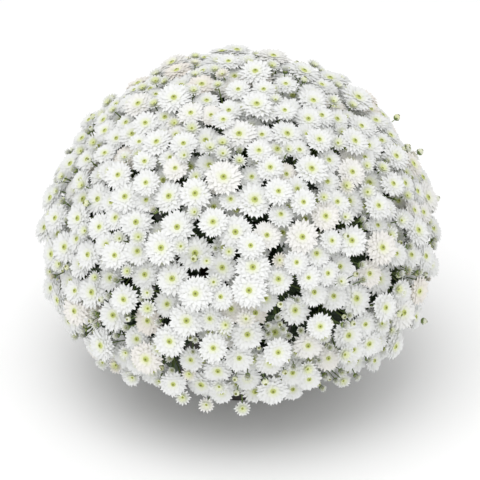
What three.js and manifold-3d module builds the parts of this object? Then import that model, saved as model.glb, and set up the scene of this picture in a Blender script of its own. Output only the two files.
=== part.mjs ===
// A potted garden chrysanthemum: a dome of white double blooms over lobed leaves, in a plain pot.
// Lengths are millimetres and +Z is up. The origin is the middle of the pot's flat underside.
import * as THREE from "three";
import { mergeVertices } from "three/addons/utils/BufferGeometryUtils.js";
import Module from "manifold-3d";

const wasm = await Module();
wasm.setup();

// Dome of blooms. Its surface runs through the middles of the open blooms.
const DOME_RADIUS = 241;
const WAIST_HEIGHT = 185;
const CROWN_RISE = 234;
const SKIRT_FALL = 222;
const SKIRT_HEIGHT = 90;
const TOP_HEIGHT = WAIST_HEIGHT + CROWN_RISE;

// Counts of the parts that repeat.
const STEM_COUNT = 11;
const SPRAY_COUNT = 45;
const BLOOM_COUNT = 348;

// Open blooms: five petals in outline, round a raised disc, on a pedicel.
const LARGE_SHARE = 0.4;
const LARGE_RADIUS = [17.5, 20];
const USUAL_RADIUS = [14.5, 17.5];
const BLOOM_WANDER = 9;
const WANDER_GIRTH = 36;
const BLOOM_LIFT = 0.2;
const LIGHT_PULL = 0.7;
const BLOOM_NOD = 0.16;
const PEDICEL_PULL = 0.3;
const LEAST_BEND = 0.7;
const BEND_STEP = 0.1;
const LAYERS = 4;
const LAYER_DEPTH = 6;
const PETALS = 5;
const NOTCH_SHARE = 0.7;
const TIP_RISE = -1;
const NOTCH_RISE = 1.2;
const DISC_RISE = 4.2;
const CALYX_DROP = 4;
const CALYX_RADIUS = 2.2;
const SMALLEST_RADIUS = 9;
const SHORTENING = 0.93;

// Closed buds among the open blooms, one to every few sprays.
const SPRAYS_PER_BUD = 3;
const BUD_RADIUS = 4.5;
const BUD_SIDES = 4;
const BUD_DEPTH = 16;
const BUD_RISE = 4.5;
const BUD_LEAN = 0.16;
const BUD_LIFT = 0.35;

// Heads that stand out of the dome: buds past its right edge, small blooms under its front.
// Each has its turn about +Z in degrees, its height and how far it stands out.
const STRAY_BLOOM_RADIUS = 10;
const STRAYS = [
  { turn: 20, height: 314, standOut: 8, open: false },
  { turn: 13, height: 277, standOut: 9, open: false },
  { turn: 6, height: 227, standOut: 9, open: false },
  { turn: -9, height: 94, standOut: 14, open: false },
  { turn: -107, height: 96, standOut: 4, open: true },
  { turn: -100, height: 87, standOut: 4, open: true },
  { turn: -89, height: 84, standOut: 5, open: true },
];

// Spray: a hub that the pedicels grow from, on a short peduncle that stands on its branch.
const HUB_DEPTH = 62;
const HUB_RADIUS = 4.6;
const HUB_RISE = 3.4;
const FACET_FOLLOW = 0.4;
const PEDUNCLE_LENGTH = 12;
const PEDUNCLE_RADIUS = 2.6;
const JOINT_GAP = 0.35;

// Leafy stem: a trunk from the soil, a small core of close growth, branches and leaves.
const LOWEST_STEM = 92;
const TRUNK_RADIUS = 4.6;
const TRUNK_TAPER = 0.3;
const TRUNK_SIDES = 5;
const TRUNK_STEPS = 4;
const TRUNK_SPREAD = 88;
const TRUNK_START = 0.3;
const TRUNK_BEND = 0.35;
const TRUNK_ARCH_HEIGHT = 205;
const LOW_CORE_HEIGHT = 190;
const LOW_CORE_SHARE = 0.4;
const CORE_DEPTH = 96;
const CORE_RISE = 9;
const CORE_FALL = 12;
const CORE_SIDES = 8;
const CORE_SHARE = 0.72;
const CORE_STEP = 0.02;
const CORE_WIDEST = 0.9;
const CORE_LOWEST = -0.5;
const ROOT_TURN = 0.22;
const ROOT_SHARE = 0.5;
const ROOT_SINK = 5;
const BRANCH_RADIUS = 2.8;
const STALK_SIDES = 3;

// Leaves: lobed blades that grow from the sides of a branch.
const LEAF_SHARE = 0.76;
const LEAF_LENGTH = 60;
const LEAF_WIDTH = 38;
const LEAF_MIDDLE = 0.55;
const LEAF_ARCH = 3;
const LEAF_THICKNESS = 2.2;
const LEAF_LEVEL = 0.52;
const LEAF_FOOT = 5;
const LEAF_TIP_DEPTH = 34;
const SMALLEST_LEAF = 0.45;
const LEAF_SHRINK = 0.92;
const HEAD_REACH = 3;
// How far along the blade, and how far out to its side, as shares of its length and width.
const LEAF_EDGE = [
  [0.36, 0.42],
  [0.48, 0.26],
  [0.64, 0.5],
  [0.78, 0.24],
];

// Pot and soil.
const POT_HEIGHT = 150;
const POT_BASE_RADIUS = 83;
const POT_MOUTH_RADIUS = 111;
const POT_WALL = 3;
const RIM_HEIGHT = 16;
const RIM_WIDTH = 5;
const POT_SIDES = 24;
const DRAIN_HOLES = 6;
const DRAIN_RADIUS = 6;
const DRAIN_CIRCLE = 55;
const DRAIN_SIDES = 8;
const SOIL_GAP = 0.4;
const SOIL_HEIGHT = 132;
const SOIL_LUMP = 2.5;
const SOIL_MID_SHARE = 0.68;
const SOIL_INNER_SHARE = 0.32;
const HOLE_DEPTH = 26;
const HOLE_RADIUS = 5.8;
const HOLE_SIDES = 8;
const POT_CLEAR_RADIUS = 132;
const POT_CLEAR_HEIGHT = 164;

// Seeded chance, with a number for each trait that is drawn, and limits of the tests on solids.
const SEED = 42;
const TRAIT = {
  height: 1,
  sideways: 2,
  nod: [3, 4, 5],
  large: 6,
  layer: 7,
  radius: 8,
  spin: 9,
  budTurn: 11,
  budDepth: 12,
  branchTurn: 13,
  leaf: 20,
  outerSoil: 30,
  innerSoil: 31,
};
const MERGE_DISTANCE = 1e-4;
const TOUCH_VOLUME = 1e-3;
const GOLDEN_ANGLE = Math.PI * (3 - Math.sqrt(5));
const UP = new THREE.Vector3(0, 0, 1);
const LIGHT = new THREE.Vector3(0, -0.77, 0.64);
const HEART = new THREE.Vector3(0, 0, WAIST_HEIGHT);

const petalFinish = new THREE.MeshStandardMaterial({ color: 0xf2f1ea, roughness: 0.7 });
const leafFinish = new THREE.MeshStandardMaterial({ color: 0x3d5a34, roughness: 0.75 });
const soilFinish = new THREE.MeshStandardMaterial({ color: 0x3a2c22, roughness: 0.95 });
const potFinish = new THREE.MeshStandardMaterial({ color: 0x3b3733, roughness: 0.6 });

// A repeatable number from 0 to 1 for one trait of one numbered thing.
function chance(index, trait) {
  let bits = Math.imul(index + 1, 0x9e3779b1) ^ Math.imul(trait + SEED, 0x85ebca6b);
  bits = Math.imul(bits ^ (bits >>> 15), 0x2c1b3c6d);
  bits = Math.imul(bits ^ (bits >>> 12), 0x297a2d39);
  return ((bits ^ (bits >>> 15)) >>> 0) / 2 ** 32;
}

// The same, from -1 to 1.
function swing(index, trait) {
  return 2 * chance(index, trait) - 1;
}

function between(range, share) {
  return range[0] + (range[1] - range[0]) * share;
}

function numbers(count) {
  return Array.from({ length: count }, (_, i) => i);
}

// Distance from the dome's heart to its surface in a unit direction.
function reach(direction) {
  const level = Math.hypot(direction.x, direction.y) / DOME_RADIUS;
  const upright = direction.z / (direction.z > 0 ? CROWN_RISE : SKIRT_FALL);
  return 1 / Math.hypot(level, upright);
}

// The point at a depth below the dome's surface, towards its heart.
function below(direction, depth) {
  return HEART.clone().addScaledVector(direction, reach(direction) - depth);
}

// The dome's radius at a height.
function girth(height) {
  const rise = height - WAIST_HEIGHT;
  const half = rise > 0 ? CROWN_RISE : SKIRT_FALL;
  return DOME_RADIUS * Math.sqrt(Math.max(0, 1 - (rise / half) ** 2));
}

// The direction from the heart to the dome's surface at a height and a turn about +Z.
function directionAt(height, turn) {
  const radius = girth(height);
  const rise = height - WAIST_HEIGHT;
  return new THREE.Vector3(radius * Math.cos(turn), radius * Math.sin(turn), rise).normalize();
}

// The height of one of a number of evenly spread places, counted from the top.
function spiralHeight(index, count, lowest = SKIRT_HEIGHT) {
  return TOP_HEIGHT - ((index + 0.5) / count) * (TOP_HEIGHT - lowest);
}

function spiralDirections(count, lowest = SKIRT_HEIGHT) {
  return numbers(count).map((i) => directionAt(spiralHeight(i, count, lowest), i * GOLDEN_ANGLE));
}

// The number of the direction in a list that lies nearest to the given one.
function nearest(direction, list) {
  let best = 0;
  for (let i = 1; i < list.length; i += 1) {
    if (direction.dot(list[i]) > direction.dot(list[best])) {
      best = i;
    }
  }
  return best;
}

// The dome's outward normal in a direction from its heart.
function domeNormal(direction) {
  const half = direction.z > 0 ? CROWN_RISE : SKIRT_FALL;
  const squash = (DOME_RADIUS / half) ** 2;
  return new THREE.Vector3(direction.x, direction.y, direction.z * squash).normalize();
}

// The turn that takes +Z to an axis.
function turnTo(axis) {
  return new THREE.Quaternion().setFromUnitVectors(UP, axis);
}

// The angle of an offset about an axis.
function angleAbout(axis, offset) {
  const flat = offset.clone().applyQuaternion(turnTo(axis).invert());
  return Math.atan2(flat.y, flat.x);
}

// The point at an angle round a middle, in the plane across an axis, lifted along it.
function around(middle, axis, angle, radius, rise = 0) {
  const offset = new THREE.Vector3(radius * Math.cos(angle), radius * Math.sin(angle), rise);
  return offset.applyQuaternion(turnTo(axis)).add(middle);
}

// Evenly spaced points round a middle, in the plane across an axis.
function ring(middle, axis, count, radius, phase = 0) {
  return numbers(count).map((i) => around(middle, axis, phase + (2 * Math.PI * i) / count, radius));
}

// Adds the faces between two rings, or between a ring and a tip of one point.
function stitch(faces, low, lowCount, high, highCount) {
  const lowSteps = lowCount === 1 ? 0 : lowCount;
  const highSteps = highCount === 1 ? 0 : highCount;
  let i = 0;
  let j = 0;
  while (i < lowSteps || j < highSteps) {
    const a = low + (i % lowCount);
    const b = high + (j % highCount);
    if (j >= highSteps || (i < lowSteps && (i + 1) * highSteps <= (j + 1) * lowSteps)) {
      faces.push([a, low + ((i + 1) % lowCount), b]);
      i += 1;
    } else {
      faces.push([a, high + ((j + 1) % highCount), b]);
      j += 1;
    }
  }
}

// Corners and faces as a three.js geometry.
function faceted(corners, faces) {
  const geometry = new THREE.BufferGeometry();
  const places = corners.flatMap((corner) => corner.toArray());
  geometry.setAttribute("position", new THREE.Float32BufferAttribute(places, 3));
  geometry.setIndex(faces.flat());
  return geometry;
}

// A skin over rings of points that all run the same way round an axis. A fan closes each end.
function skin(rings) {
  const starts = [];
  let total = 0;
  for (const points of rings) {
    starts.push(total);
    total += points.length;
  }
  const faces = [];
  const last = rings.length - 1;
  numbers(rings[0].length)
    .slice(2)
    .forEach((i) => faces.push([0, i, i - 1]));
  for (let level = 0; level < last; level += 1) {
    stitch(faces, starts[level], rings[level].length, starts[level + 1], rings[level + 1].length);
  }
  const first = starts[last];
  numbers(rings[last].length)
    .slice(2)
    .forEach((i) => faces.push([first, first + i - 1, first + i]));
  return faceted(rings.flat(), faces);
}

// A geometry with its shared corners merged and its faces of no area dropped.
function closed(geometry) {
  geometry.deleteAttribute("normal");
  geometry.deleteAttribute("uv");
  const whole = mergeVertices(geometry, MERGE_DISTANCE);
  const corners = whole.getIndex().array;
  const faces = [];
  for (let i = 0; i < corners.length; i += 3) {
    const [a, b, c] = corners.slice(i, i + 3);
    if (a !== b && b !== c && c !== a) {
      faces.push(a, b, c);
    }
  }
  whole.setIndex(faces);
  return whole;
}

function solidOf(geometry) {
  return new wasm.Manifold(
    new wasm.Mesh({
      numProp: 3,
      vertProperties: new Float32Array(geometry.getAttribute("position").array),
      triVerts: new Uint32Array(geometry.getIndex().array),
    }),
  );
}

function geometryOf(solid) {
  const { vertProperties, triVerts } = solid.getMesh();
  const geometry = new THREE.BufferGeometry();
  geometry.setAttribute("position", new THREE.Float32BufferAttribute(vertProperties, 3));
  geometry.setIndex([...triVerts]);
  return geometry;
}

// The solids joined into one body. A hollow that the joining seals is filled.
function fused(solids) {
  const skins = solids.reduce((whole, next) => whole.add(next)).decompose();
  return skins.reduce((best, next) => (next.volume() > best.volume() ? next : best));
}

function touches(first, second) {
  return first.intersect(second).volume() > TOUCH_VOLUME;
}

// The way a head faces: out, a little up, and to the light. At the back the dome shades itself.
function facing(direction, outward) {
  const share = LIGHT_PULL * Math.min(1, 1 - direction.y);
  return outward.clone().addScaledVector(UP, BLOOM_LIFT).addScaledVector(LIGHT, share);
}

// A flower head: where it sits, which way it faces and how wide it is.
function bloomAt(index, sprayDirections, hubs) {
  const height = spiralHeight(index, BLOOM_COUNT) + BLOOM_WANDER * swing(index, TRAIT.height);
  const level = Math.min(Math.max(height, SKIRT_HEIGHT), TOP_HEIGHT - 1);
  const wander = BLOOM_WANDER * swing(index, TRAIT.sideways);
  const sideways = wander / Math.max(girth(level), WANDER_GIRTH);
  const direction = directionAt(level, index * GOLDEN_ANGLE + sideways);
  const axis = facing(direction, domeNormal(direction));
  const nod = new THREE.Vector3(...TRAIT.nod.map((trait) => swing(index, trait)));
  const range = chance(index, TRAIT.large) < LARGE_SHARE ? LARGE_RADIUS : USUAL_RADIUS;
  const spray = nearest(direction, sprayDirections);
  const point = below(direction, 0);
  const pedicel = point.clone().sub(hubs[spray]).normalize();
  axis.addScaledVector(nod, BLOOM_NOD).addScaledVector(pedicel, PEDICEL_PULL).normalize();
  while (axis.dot(pedicel) < LEAST_BEND) {
    axis.addScaledVector(pedicel, BEND_STEP).normalize();
  }
  return {
    direction,
    spray,
    layer: Math.floor(LAYERS * chance(index, TRAIT.layer)),
    point,
    axis,
    radius: between(range, chance(index, TRAIT.radius)),
    spin: (swing(index, TRAIT.spin) * Math.PI) / (2 * PETALS),
    open: true,
  };
}

// Settles each bloom in the first layer that no earlier bloom over or under it has taken.
function layerBlooms(blooms) {
  blooms.forEach((bloom, number) => {
    const close = blooms
      .slice(0, number)
      .filter((other) => other.point.distanceTo(bloom.point) < other.radius + bloom.radius);
    const taken = new Set(close.map((other) => other.layer));
    const choices = numbers(LAYERS).map((i) => (bloom.layer + i) % LAYERS);
    bloom.layer = choices.find((layer) => !taken.has(layer)) ?? bloom.layer;
  });
  for (const bloom of blooms) {
    bloom.point = below(bloom.direction, bloom.layer * LAYER_DEPTH);
  }
}

// The closed bud of one spray, a little aside from the spray's middle.
function budOf(number, sprayDirections) {
  const direction = sprayDirections[number].clone();
  const turn = 2 * Math.PI * chance(number, TRAIT.budTurn);
  const aside = around(new THREE.Vector3(), direction, turn, BUD_LEAN);
  direction.add(aside).normalize();
  return {
    spray: number,
    point: below(direction, BUD_DEPTH * chance(number, TRAIT.budDepth)),
    axis: direction,
    radius: BUD_RADIUS,
    spin: 0,
    open: false,
  };
}

// A head that stands out of the dome, carried by the nearest spray.
function strayAt({ turn, height, standOut, open }, sprayDirections) {
  const direction = directionAt(height, THREE.MathUtils.degToRad(turn));
  return {
    spray: nearest(direction, sprayDirections),
    point: below(direction, -standOut),
    axis: (open ? facing(direction, direction) : direction.clone().addScaledVector(UP, BUD_LIFT)).normalize(),
    radius: open ? STRAY_BLOOM_RADIUS : BUD_RADIUS,
    spin: 0,
    open,
  };
}

// The rings of a head's skin, from the hub's facet up its pedicel to its disc or its tip.
function headRings(head) {
  const { axis, facet, point, radius } = head;
  const middle = facet[0].clone().add(facet[1]).add(facet[2]).divideScalar(3);
  const phase = angleAbout(axis, facet[0].clone().sub(middle));
  const calyx = ring(around(point, axis, 0, 0, -CALYX_DROP), axis, STALK_SIDES, CALYX_RADIUS, phase);
  if (!head.open) {
    const bud = ring(point, axis, BUD_SIDES, radius, phase);
    return [facet, calyx, bud, [around(point, axis, 0, 0, BUD_RISE)]];
  }
  const rim = numbers(2 * PETALS).map((i) => {
    const angle = phase + head.spin + (Math.PI * i) / PETALS;
    const isTip = i % 2 === 0;
    return around(point, axis, angle, isTip ? radius : radius * NOTCH_SHARE, isTip ? TIP_RISE : NOTCH_RISE);
  });
  return [facet, calyx, rim, [around(point, axis, 0, 0, DISC_RISE)]];
}

function headSolid(head) {
  return solidOf(skin(headRings(head)));
}

// Gives each head of a spray a facet of the hub, in the order that they stand round it.
function shareHub(spray, heads) {
  const { hub, growth } = spray;
  const angles = new Map(heads.map((head) => [head, angleAbout(growth, head.point.clone().sub(hub))]));
  const order = [...heads].sort((first, second) => angles.get(first) - angles.get(second));
  const step = (2 * Math.PI) / order.length;
  const drift = order.reduce((sum, head, i) => sum + angles.get(head) - i * step, 0) / order.length;
  const middles = order.map((head, i) => {
    const even = drift + i * step;
    return even + FACET_FOLLOW * (angles.get(head) - even);
  });
  const edge = order.map((_, i) => {
    const before = i > 0 ? middles[i - 1] : middles[order.length - 1] - 2 * Math.PI;
    return around(hub, growth, 0.5 * (before + middles[i]), HUB_RADIUS);
  });
  const crown = around(hub, growth, 0, 0, HUB_RISE);
  order.forEach((head, i) => {
    head.facet = [crown, edge[i], edge[(i + 1) % edge.length]];
  });
  spray.edge = edge;
}

// Shortens petals until no bloom touches another. Two heads of one spray whose pedicels meet
// keep their petals: they are joined there.
function partBlooms(heads) {
  for (const head of heads) {
    head.solid = headSolid(head);
    head.stalk = headSolid({ ...head, radius: Math.min(head.radius, SMALLEST_RADIUS) });
  }
  heads.forEach((first, number) => {
    for (const second of heads.slice(number + 1)) {
      const apart = first.point.distanceTo(second.point);
      const fixed = first.spray === second.spray && touches(first.stalk, second.stalk);
      const wider = () => (first.radius > second.radius ? first : second);
      const near = () => first.spray === second.spray || apart < first.radius + second.radius;
      while (!fixed && near() && wider().radius > SMALLEST_RADIUS && touches(first.solid, second.solid)) {
        const head = wider();
        head.radius *= SHORTENING;
        head.solid = headSolid(head);
      }
    }
  });
}

// One spray: peduncle and hub, with each head joined on at its own facet of the hub.
function spraySolid(spray) {
  const { hub, growth, edge } = spray;
  const phase = angleAbout(growth, edge[0].clone().sub(hub));
  const foot = around(hub, growth, 0, 0, -PEDUNCLE_LENGTH);
  const neck = around(hub, growth, 0, 0, -HUB_RISE);
  const stalk = [foot, neck].map((middle) => ring(middle, growth, STALK_SIDES, PEDUNCLE_RADIUS, phase));
  const crown = [around(hub, growth, 0, 0, HUB_RISE)];
  return fused([solidOf(skin([...stalk, edge, crown])), ...spray.heads.map((head) => head.solid)]);
}

// Keeps a point of a stem outside the pot's wall, where it is low enough to meet it.
function clearOfPot(point) {
  const radius = Math.hypot(point.x, point.y);
  if (point.z < POT_CLEAR_HEIGHT && radius < POT_CLEAR_RADIUS) {
    point.x *= POT_CLEAR_RADIUS / radius;
    point.y *= POT_CLEAR_RADIUS / radius;
  }
  return point;
}

// The edge of a stem's core: points round its direction, inside its own share of the dome.
function coreEdge(number, stemDirections) {
  const axis = stemDirections[number];
  return ring(new THREE.Vector3(), axis, CORE_SIDES, 1).map((side) => {
    const tilted = (angle) =>
      axis.clone().multiplyScalar(Math.cos(angle)).addScaledVector(side, Math.sin(angle));
    const isOwn = (direction) =>
      nearest(direction, stemDirections) === number && direction.z > CORE_LOWEST;
    let angle = CORE_STEP;
    while (angle < CORE_WIDEST && isOwn(tilted(angle))) {
      angle += CORE_STEP;
    }
    return clearOfPot(below(tilted(angle * CORE_SHARE), CORE_DEPTH));
  });
}

// The small core of close growth where a trunk divides.
function coreSolid(stem) {
  const under = clearOfPot(below(stem.direction, CORE_DEPTH + CORE_FALL));
  const over = below(stem.direction, CORE_DEPTH - CORE_RISE);
  return solidOf(skin([[under], stem.edge, [over]]));
}

// Where a trunk stands in the soil: upper stems near the middle, low ones near the wall.
function trunkFoot(number) {
  const spread = TRUNK_SPREAD * Math.sqrt((number + TRUNK_START) / STEM_COUNT);
  return around(new THREE.Vector3(0, 0, SOIL_HEIGHT), UP, number * GOLDEN_ANGLE, spread);
}

// A trunk: upright in its hole, then a curve into the core. Low ones arch over the pot's rim.
function trunkSolid(number, stem) {
  const foot = trunkFoot(number);
  const end = clearOfPot(below(stem.direction, CORE_DEPTH));
  if (end.z < LOW_CORE_HEIGHT) {
    const highest = stem.edge.reduce((best, point) => (point.z > best.z ? point : best));
    end.lerp(highest, LOW_CORE_SHARE);
  }
  const bend = foot.clone().lerp(end, TRUNK_BEND);
  bend.setZ(Math.max(TRUNK_ARCH_HEIGHT, 0.5 * (foot.z + end.z)));
  const path = new THREE.QuadraticBezierCurve3(foot, bend, end);
  const heel = foot.clone().setZ(SOIL_HEIGHT - HOLE_DEPTH + SOIL_GAP);
  const rings = [ring(heel, UP, TRUNK_SIDES, TRUNK_RADIUS), ring(foot, UP, TRUNK_SIDES, TRUNK_RADIUS)];
  for (let i = 1; i <= TRUNK_STEPS; i += 1) {
    const share = i / TRUNK_STEPS;
    const radius = TRUNK_RADIUS * (1 - TRUNK_TAPER * share);
    rings.push(ring(path.getPoint(share), path.getTangent(share), TRUNK_SIDES, radius));
  }
  return solidOf(skin(rings));
}

// The corners and faces of a leaf that grows from a facet: two low corners and one above them.
// Its blade has an upper and a lower face, arched over the midrib, between notched edges.
function leafFaces(facet, tip, upward, scale) {
  const [right, left] = facet;
  const root = right.clone().lerp(left, 0.5);
  const length = root.distanceTo(tip) * scale;
  const along = tip.clone().sub(root).normalize();
  const across = upward.clone().cross(along).normalize();
  const over = along.clone().cross(across);
  const place = (share, aside, rise) =>
    root
      .clone()
      .addScaledVector(along, share * length)
      .addScaledVector(across, aside * LEAF_WIDTH * scale)
      .addScaledVector(over, rise);
  const rightEdge = LEAF_EDGE.map(([share, aside]) => place(share, -aside, 0));
  const leftEdge = LEAF_EDGE.map(([share, aside]) => place(share, aside, 0)).reverse();
  const outline = [right, ...rightEdge, place(1, 0, 0), ...leftEdge, left];
  const count = outline.length;
  const top = place(LEAF_MIDDLE, 0, LEAF_ARCH);
  const bottom = place(LEAF_MIDDLE, 0, LEAF_ARCH - LEAF_THICKNESS);
  const corners = [...outline, facet[2], top, bottom];
  const faces = [];
  for (let i = 0; i + 1 < count; i += 1) {
    faces.push([count + 1, i, i + 1]);
    faces.push([count + 2, i + 1, i]);
  }
  faces.push([count + 2, 0, count - 1]);
  faces.push([count + 1, count - 1, count]);
  faces.push([count + 1, count, 0]);
  return { corners, faces, foot: [0, count, count - 1] };
}

function leafSolid(leaf, scale) {
  const { corners, faces, foot } = leafFaces(leaf.facet, leaf.tip, leaf.upward, scale);
  return solidOf(faceted(corners, [...faces, foot]));
}

// The leaves of one branch. Each is shrunk until it is clear of all other leaves and blooms.
function growLeaves(spray, number, obstacles) {
  const { low, high, direction } = spray;
  const middle = low[0].clone().add(low[1]).add(low[2]).divideScalar(3);
  const close = obstacles.filter((other) => other.middle.distanceTo(middle) < other.size + LEAF_LENGTH);
  const leaves = [];
  for (const side of numbers(low.length)) {
    const next = (side + 1) % low.length;
    const facet = [low[side], low[next], high[side]];
    const outward = low[side].clone().add(low[next]).multiplyScalar(0.5).sub(middle);
    outward.addScaledVector(direction, -outward.dot(direction)).normalize();
    const spread = direction.clone().addScaledVector(outward, LEAF_LENGTH / reach(direction)).normalize();
    const leaf = { side, facet, tip: below(spread, LEAF_TIP_DEPTH), upward: direction, scale: 1 };
    leaf.solid = leafSolid(leaf, leaf.scale);
    while (leaf.scale > SMALLEST_LEAF && close.some((other) => touches(leaf.solid, other.solid))) {
      leaf.scale *= LEAF_SHRINK;
      leaf.solid = leafSolid(leaf, leaf.scale);
    }
    if (leaf.scale > SMALLEST_LEAF && chance(number, TRAIT.leaf + side) < LEAF_SHARE) {
      leaf.middle = middle.clone().lerp(leaf.tip, 0.5);
      leaf.size = LEAF_LENGTH / 2;
      leaves.push(leaf);
    }
  }
  return leaves;
}

// A branch from the core to the foot of a peduncle, with leaves joined on at its sides.
function branchSolid(spray, leaves) {
  const { growth, root, hub, low, high, phase } = spray;
  const end = around(hub, growth, 0, 0, -PEDUNCLE_LENGTH - JOINT_GAP);
  const start = ring(root, growth, STALK_SIDES, BRANCH_RADIUS, phase);
  const stop = ring(end, growth, STALK_SIDES, PEDUNCLE_RADIUS, phase);
  const stalk = solidOf(skin([start, low, high, stop]));
  return fused([stalk, ...leaves.map((leaf) => leaf.solid)]);
}

// The outer radius of the pot's wall at a height.
function potRadius(height) {
  return POT_BASE_RADIUS + ((POT_MOUTH_RADIUS - POT_BASE_RADIUS) * height) / POT_HEIGHT;
}

// The pot: a tapered wall under a thicker rim, with drain holes through its floor.
function potSolid() {
  const under = POT_HEIGHT - RIM_HEIGHT;
  const rim = POT_MOUTH_RADIUS + RIM_WIDTH;
  const profile = [
    [0, 0],
    [potRadius(0), 0],
    [potRadius(under), under],
    [potRadius(under) + RIM_WIDTH, under],
    [rim, POT_HEIGHT],
    [rim - POT_WALL, POT_HEIGHT],
    [potRadius(under) - POT_WALL, under - POT_WALL],
    [potRadius(POT_WALL) - POT_WALL, POT_WALL],
    [0, POT_WALL],
  ];
  const wall = new THREE.LatheGeometry(profile.map(([x, y]) => new THREE.Vector2(x, y)), POT_SIDES);
  wall.rotateX(Math.PI / 2);
  let pot = solidOf(closed(wall));
  for (const number of numbers(DRAIN_HOLES)) {
    const hole = new THREE.CylinderGeometry(DRAIN_RADIUS, DRAIN_RADIUS, 4 * POT_WALL, DRAIN_SIDES);
    const place = around(new THREE.Vector3(), UP, (2 * Math.PI * number) / DRAIN_HOLES, DRAIN_CIRCLE);
    hole.rotateX(Math.PI / 2);
    hole.translate(...place.toArray());
    pot = pot.subtract(solidOf(closed(hole)));
  }
  return pot;
}

// The soil: it fills the pot, with a lumpy top and a plain hole for each trunk.
function soilSolid() {
  const edge = (height) => {
    const middle = new THREE.Vector3(0, 0, height);
    return ring(middle, UP, POT_SIDES, potRadius(height) - POT_WALL - SOIL_GAP);
  };
  const lumpy = (count, share, trait) => {
    const middle = new THREE.Vector3(0, 0, SOIL_HEIGHT);
    const points = ring(middle, UP, count, share * POT_MOUTH_RADIUS);
    points.forEach((point, i) => point.setZ(point.z + SOIL_LUMP * swing(i, trait)));
    return points;
  };
  const outer = lumpy(POT_SIDES / 2, SOIL_MID_SHARE, TRAIT.outerSoil);
  const inner = lumpy(POT_SIDES / 4, SOIL_INNER_SHARE, TRAIT.innerSoil);
  const top = [new THREE.Vector3(0, 0, SOIL_HEIGHT + SOIL_LUMP)];
  const rings = [edge(POT_WALL + SOIL_GAP), edge(SOIL_HEIGHT - SOIL_LUMP), outer, inner, top];
  let soil = solidOf(skin(rings));
  for (const number of numbers(STEM_COUNT)) {
    const hole = new THREE.CylinderGeometry(HOLE_RADIUS, HOLE_RADIUS, 2 * HOLE_DEPTH, HOLE_SIDES);
    hole.rotateX(Math.PI / 2);
    hole.translate(...trunkFoot(number).toArray());
    soil = soil.subtract(solidOf(closed(hole)));
  }
  return soil;
}

function numbered(name, number) {
  return `${name}_${String(number + 1).padStart(2, "0")}`;
}

function meshOf(name, solid, finish) {
  const mesh = new THREE.Mesh(geometryOf(solid), finish.clone());
  mesh.name = name;
  return mesh;
}

const stemDirections = spiralDirections(STEM_COUNT, LOWEST_STEM);
const sprayDirections = spiralDirections(SPRAY_COUNT);

const stems = stemDirections.map((direction, number) => {
  return { direction, edge: coreEdge(number, stemDirections) };
});

// Each spray, with the stem that carries it and the line along which it grows.
const sprays = sprayDirections.map((direction, number) => {
  const stem = nearest(direction, stemDirections);
  const angle = stemDirections[stem].angleTo(direction);
  const share = Math.min(ROOT_TURN / angle, ROOT_SHARE);
  const rootDirection = stemDirections[stem].clone().lerp(direction, share).normalize();
  const root = clearOfPot(below(rootDirection, CORE_DEPTH + ROOT_SINK));
  const hub = below(direction, HUB_DEPTH);
  const growth = hub.clone().sub(root).normalize();
  const leafPoint = root.clone().lerp(hub, LEAF_LEVEL);
  const phase = 2 * Math.PI * chance(number, TRAIT.branchTurn);
  const overLeaf = around(leafPoint, growth, 0, 0, LEAF_FOOT);
  const low = ring(leafPoint, growth, STALK_SIDES, BRANCH_RADIUS, phase);
  const high = ring(overLeaf, growth, STALK_SIDES, BRANCH_RADIUS, phase);
  return { stem, direction, root, hub, growth, phase, low, high };
});

const hubs = sprays.map((spray) => spray.hub);
const blooms = numbers(BLOOM_COUNT).map((i) => bloomAt(i, sprayDirections, hubs));
layerBlooms(blooms);
const budded = numbers(SPRAY_COUNT).filter((i) => i % SPRAYS_PER_BUD === 0);
const heads = [
  ...blooms,
  ...budded.map((i) => budOf(i, sprayDirections)),
  ...STRAYS.map((stray) => strayAt(stray, sprayDirections)),
];
sprays.forEach((spray, number) => {
  spray.heads = heads.filter((head) => head.spray === number);
  shareHub(spray, spray.heads);
});
partBlooms(heads);

const plant = new THREE.Group();
plant.add(meshOf("pot", potSolid(), potFinish));
plant.add(meshOf("soil", soilSolid(), soilFinish));
sprays.forEach((spray, number) => {
  plant.add(meshOf(numbered("spray", number), spraySolid(spray), petalFinish));
});

const grown = heads.map(({ solid, point, radius }) => ({ solid, middle: point, size: HEAD_REACH * radius }));
stems.forEach((stem, number) => {
  const solids = [trunkSolid(number, stem), coreSolid(stem)];
  sprays.forEach((spray, place) => {
    if (spray.stem === number) {
      const leaves = growLeaves(spray, place, grown);
      grown.push(...leaves);
      solids.push(branchSolid(spray, leaves));
    }
  });
  plant.add(meshOf(numbered("stem", number), fused(solids), leafFinish));
});

export default plant;
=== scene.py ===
"""A potted garden chrysanthemum: a dome of white double daisies over dark lobed leaves.

Every flower head, leaf, branch and trunk is placed by one seeded rule on a dome. The shapes that repeat
are modelled once each, then copied along that rule into one piece for each spray or stem and finish.
Lengths are metres and +Z is up. The photographed side faces -Y.
"""

import logging
import math
from collections.abc import Callable, Iterable, Iterator, Sequence
from contextlib import contextmanager
from dataclasses import dataclass, field
from enum import Enum, IntEnum

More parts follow.
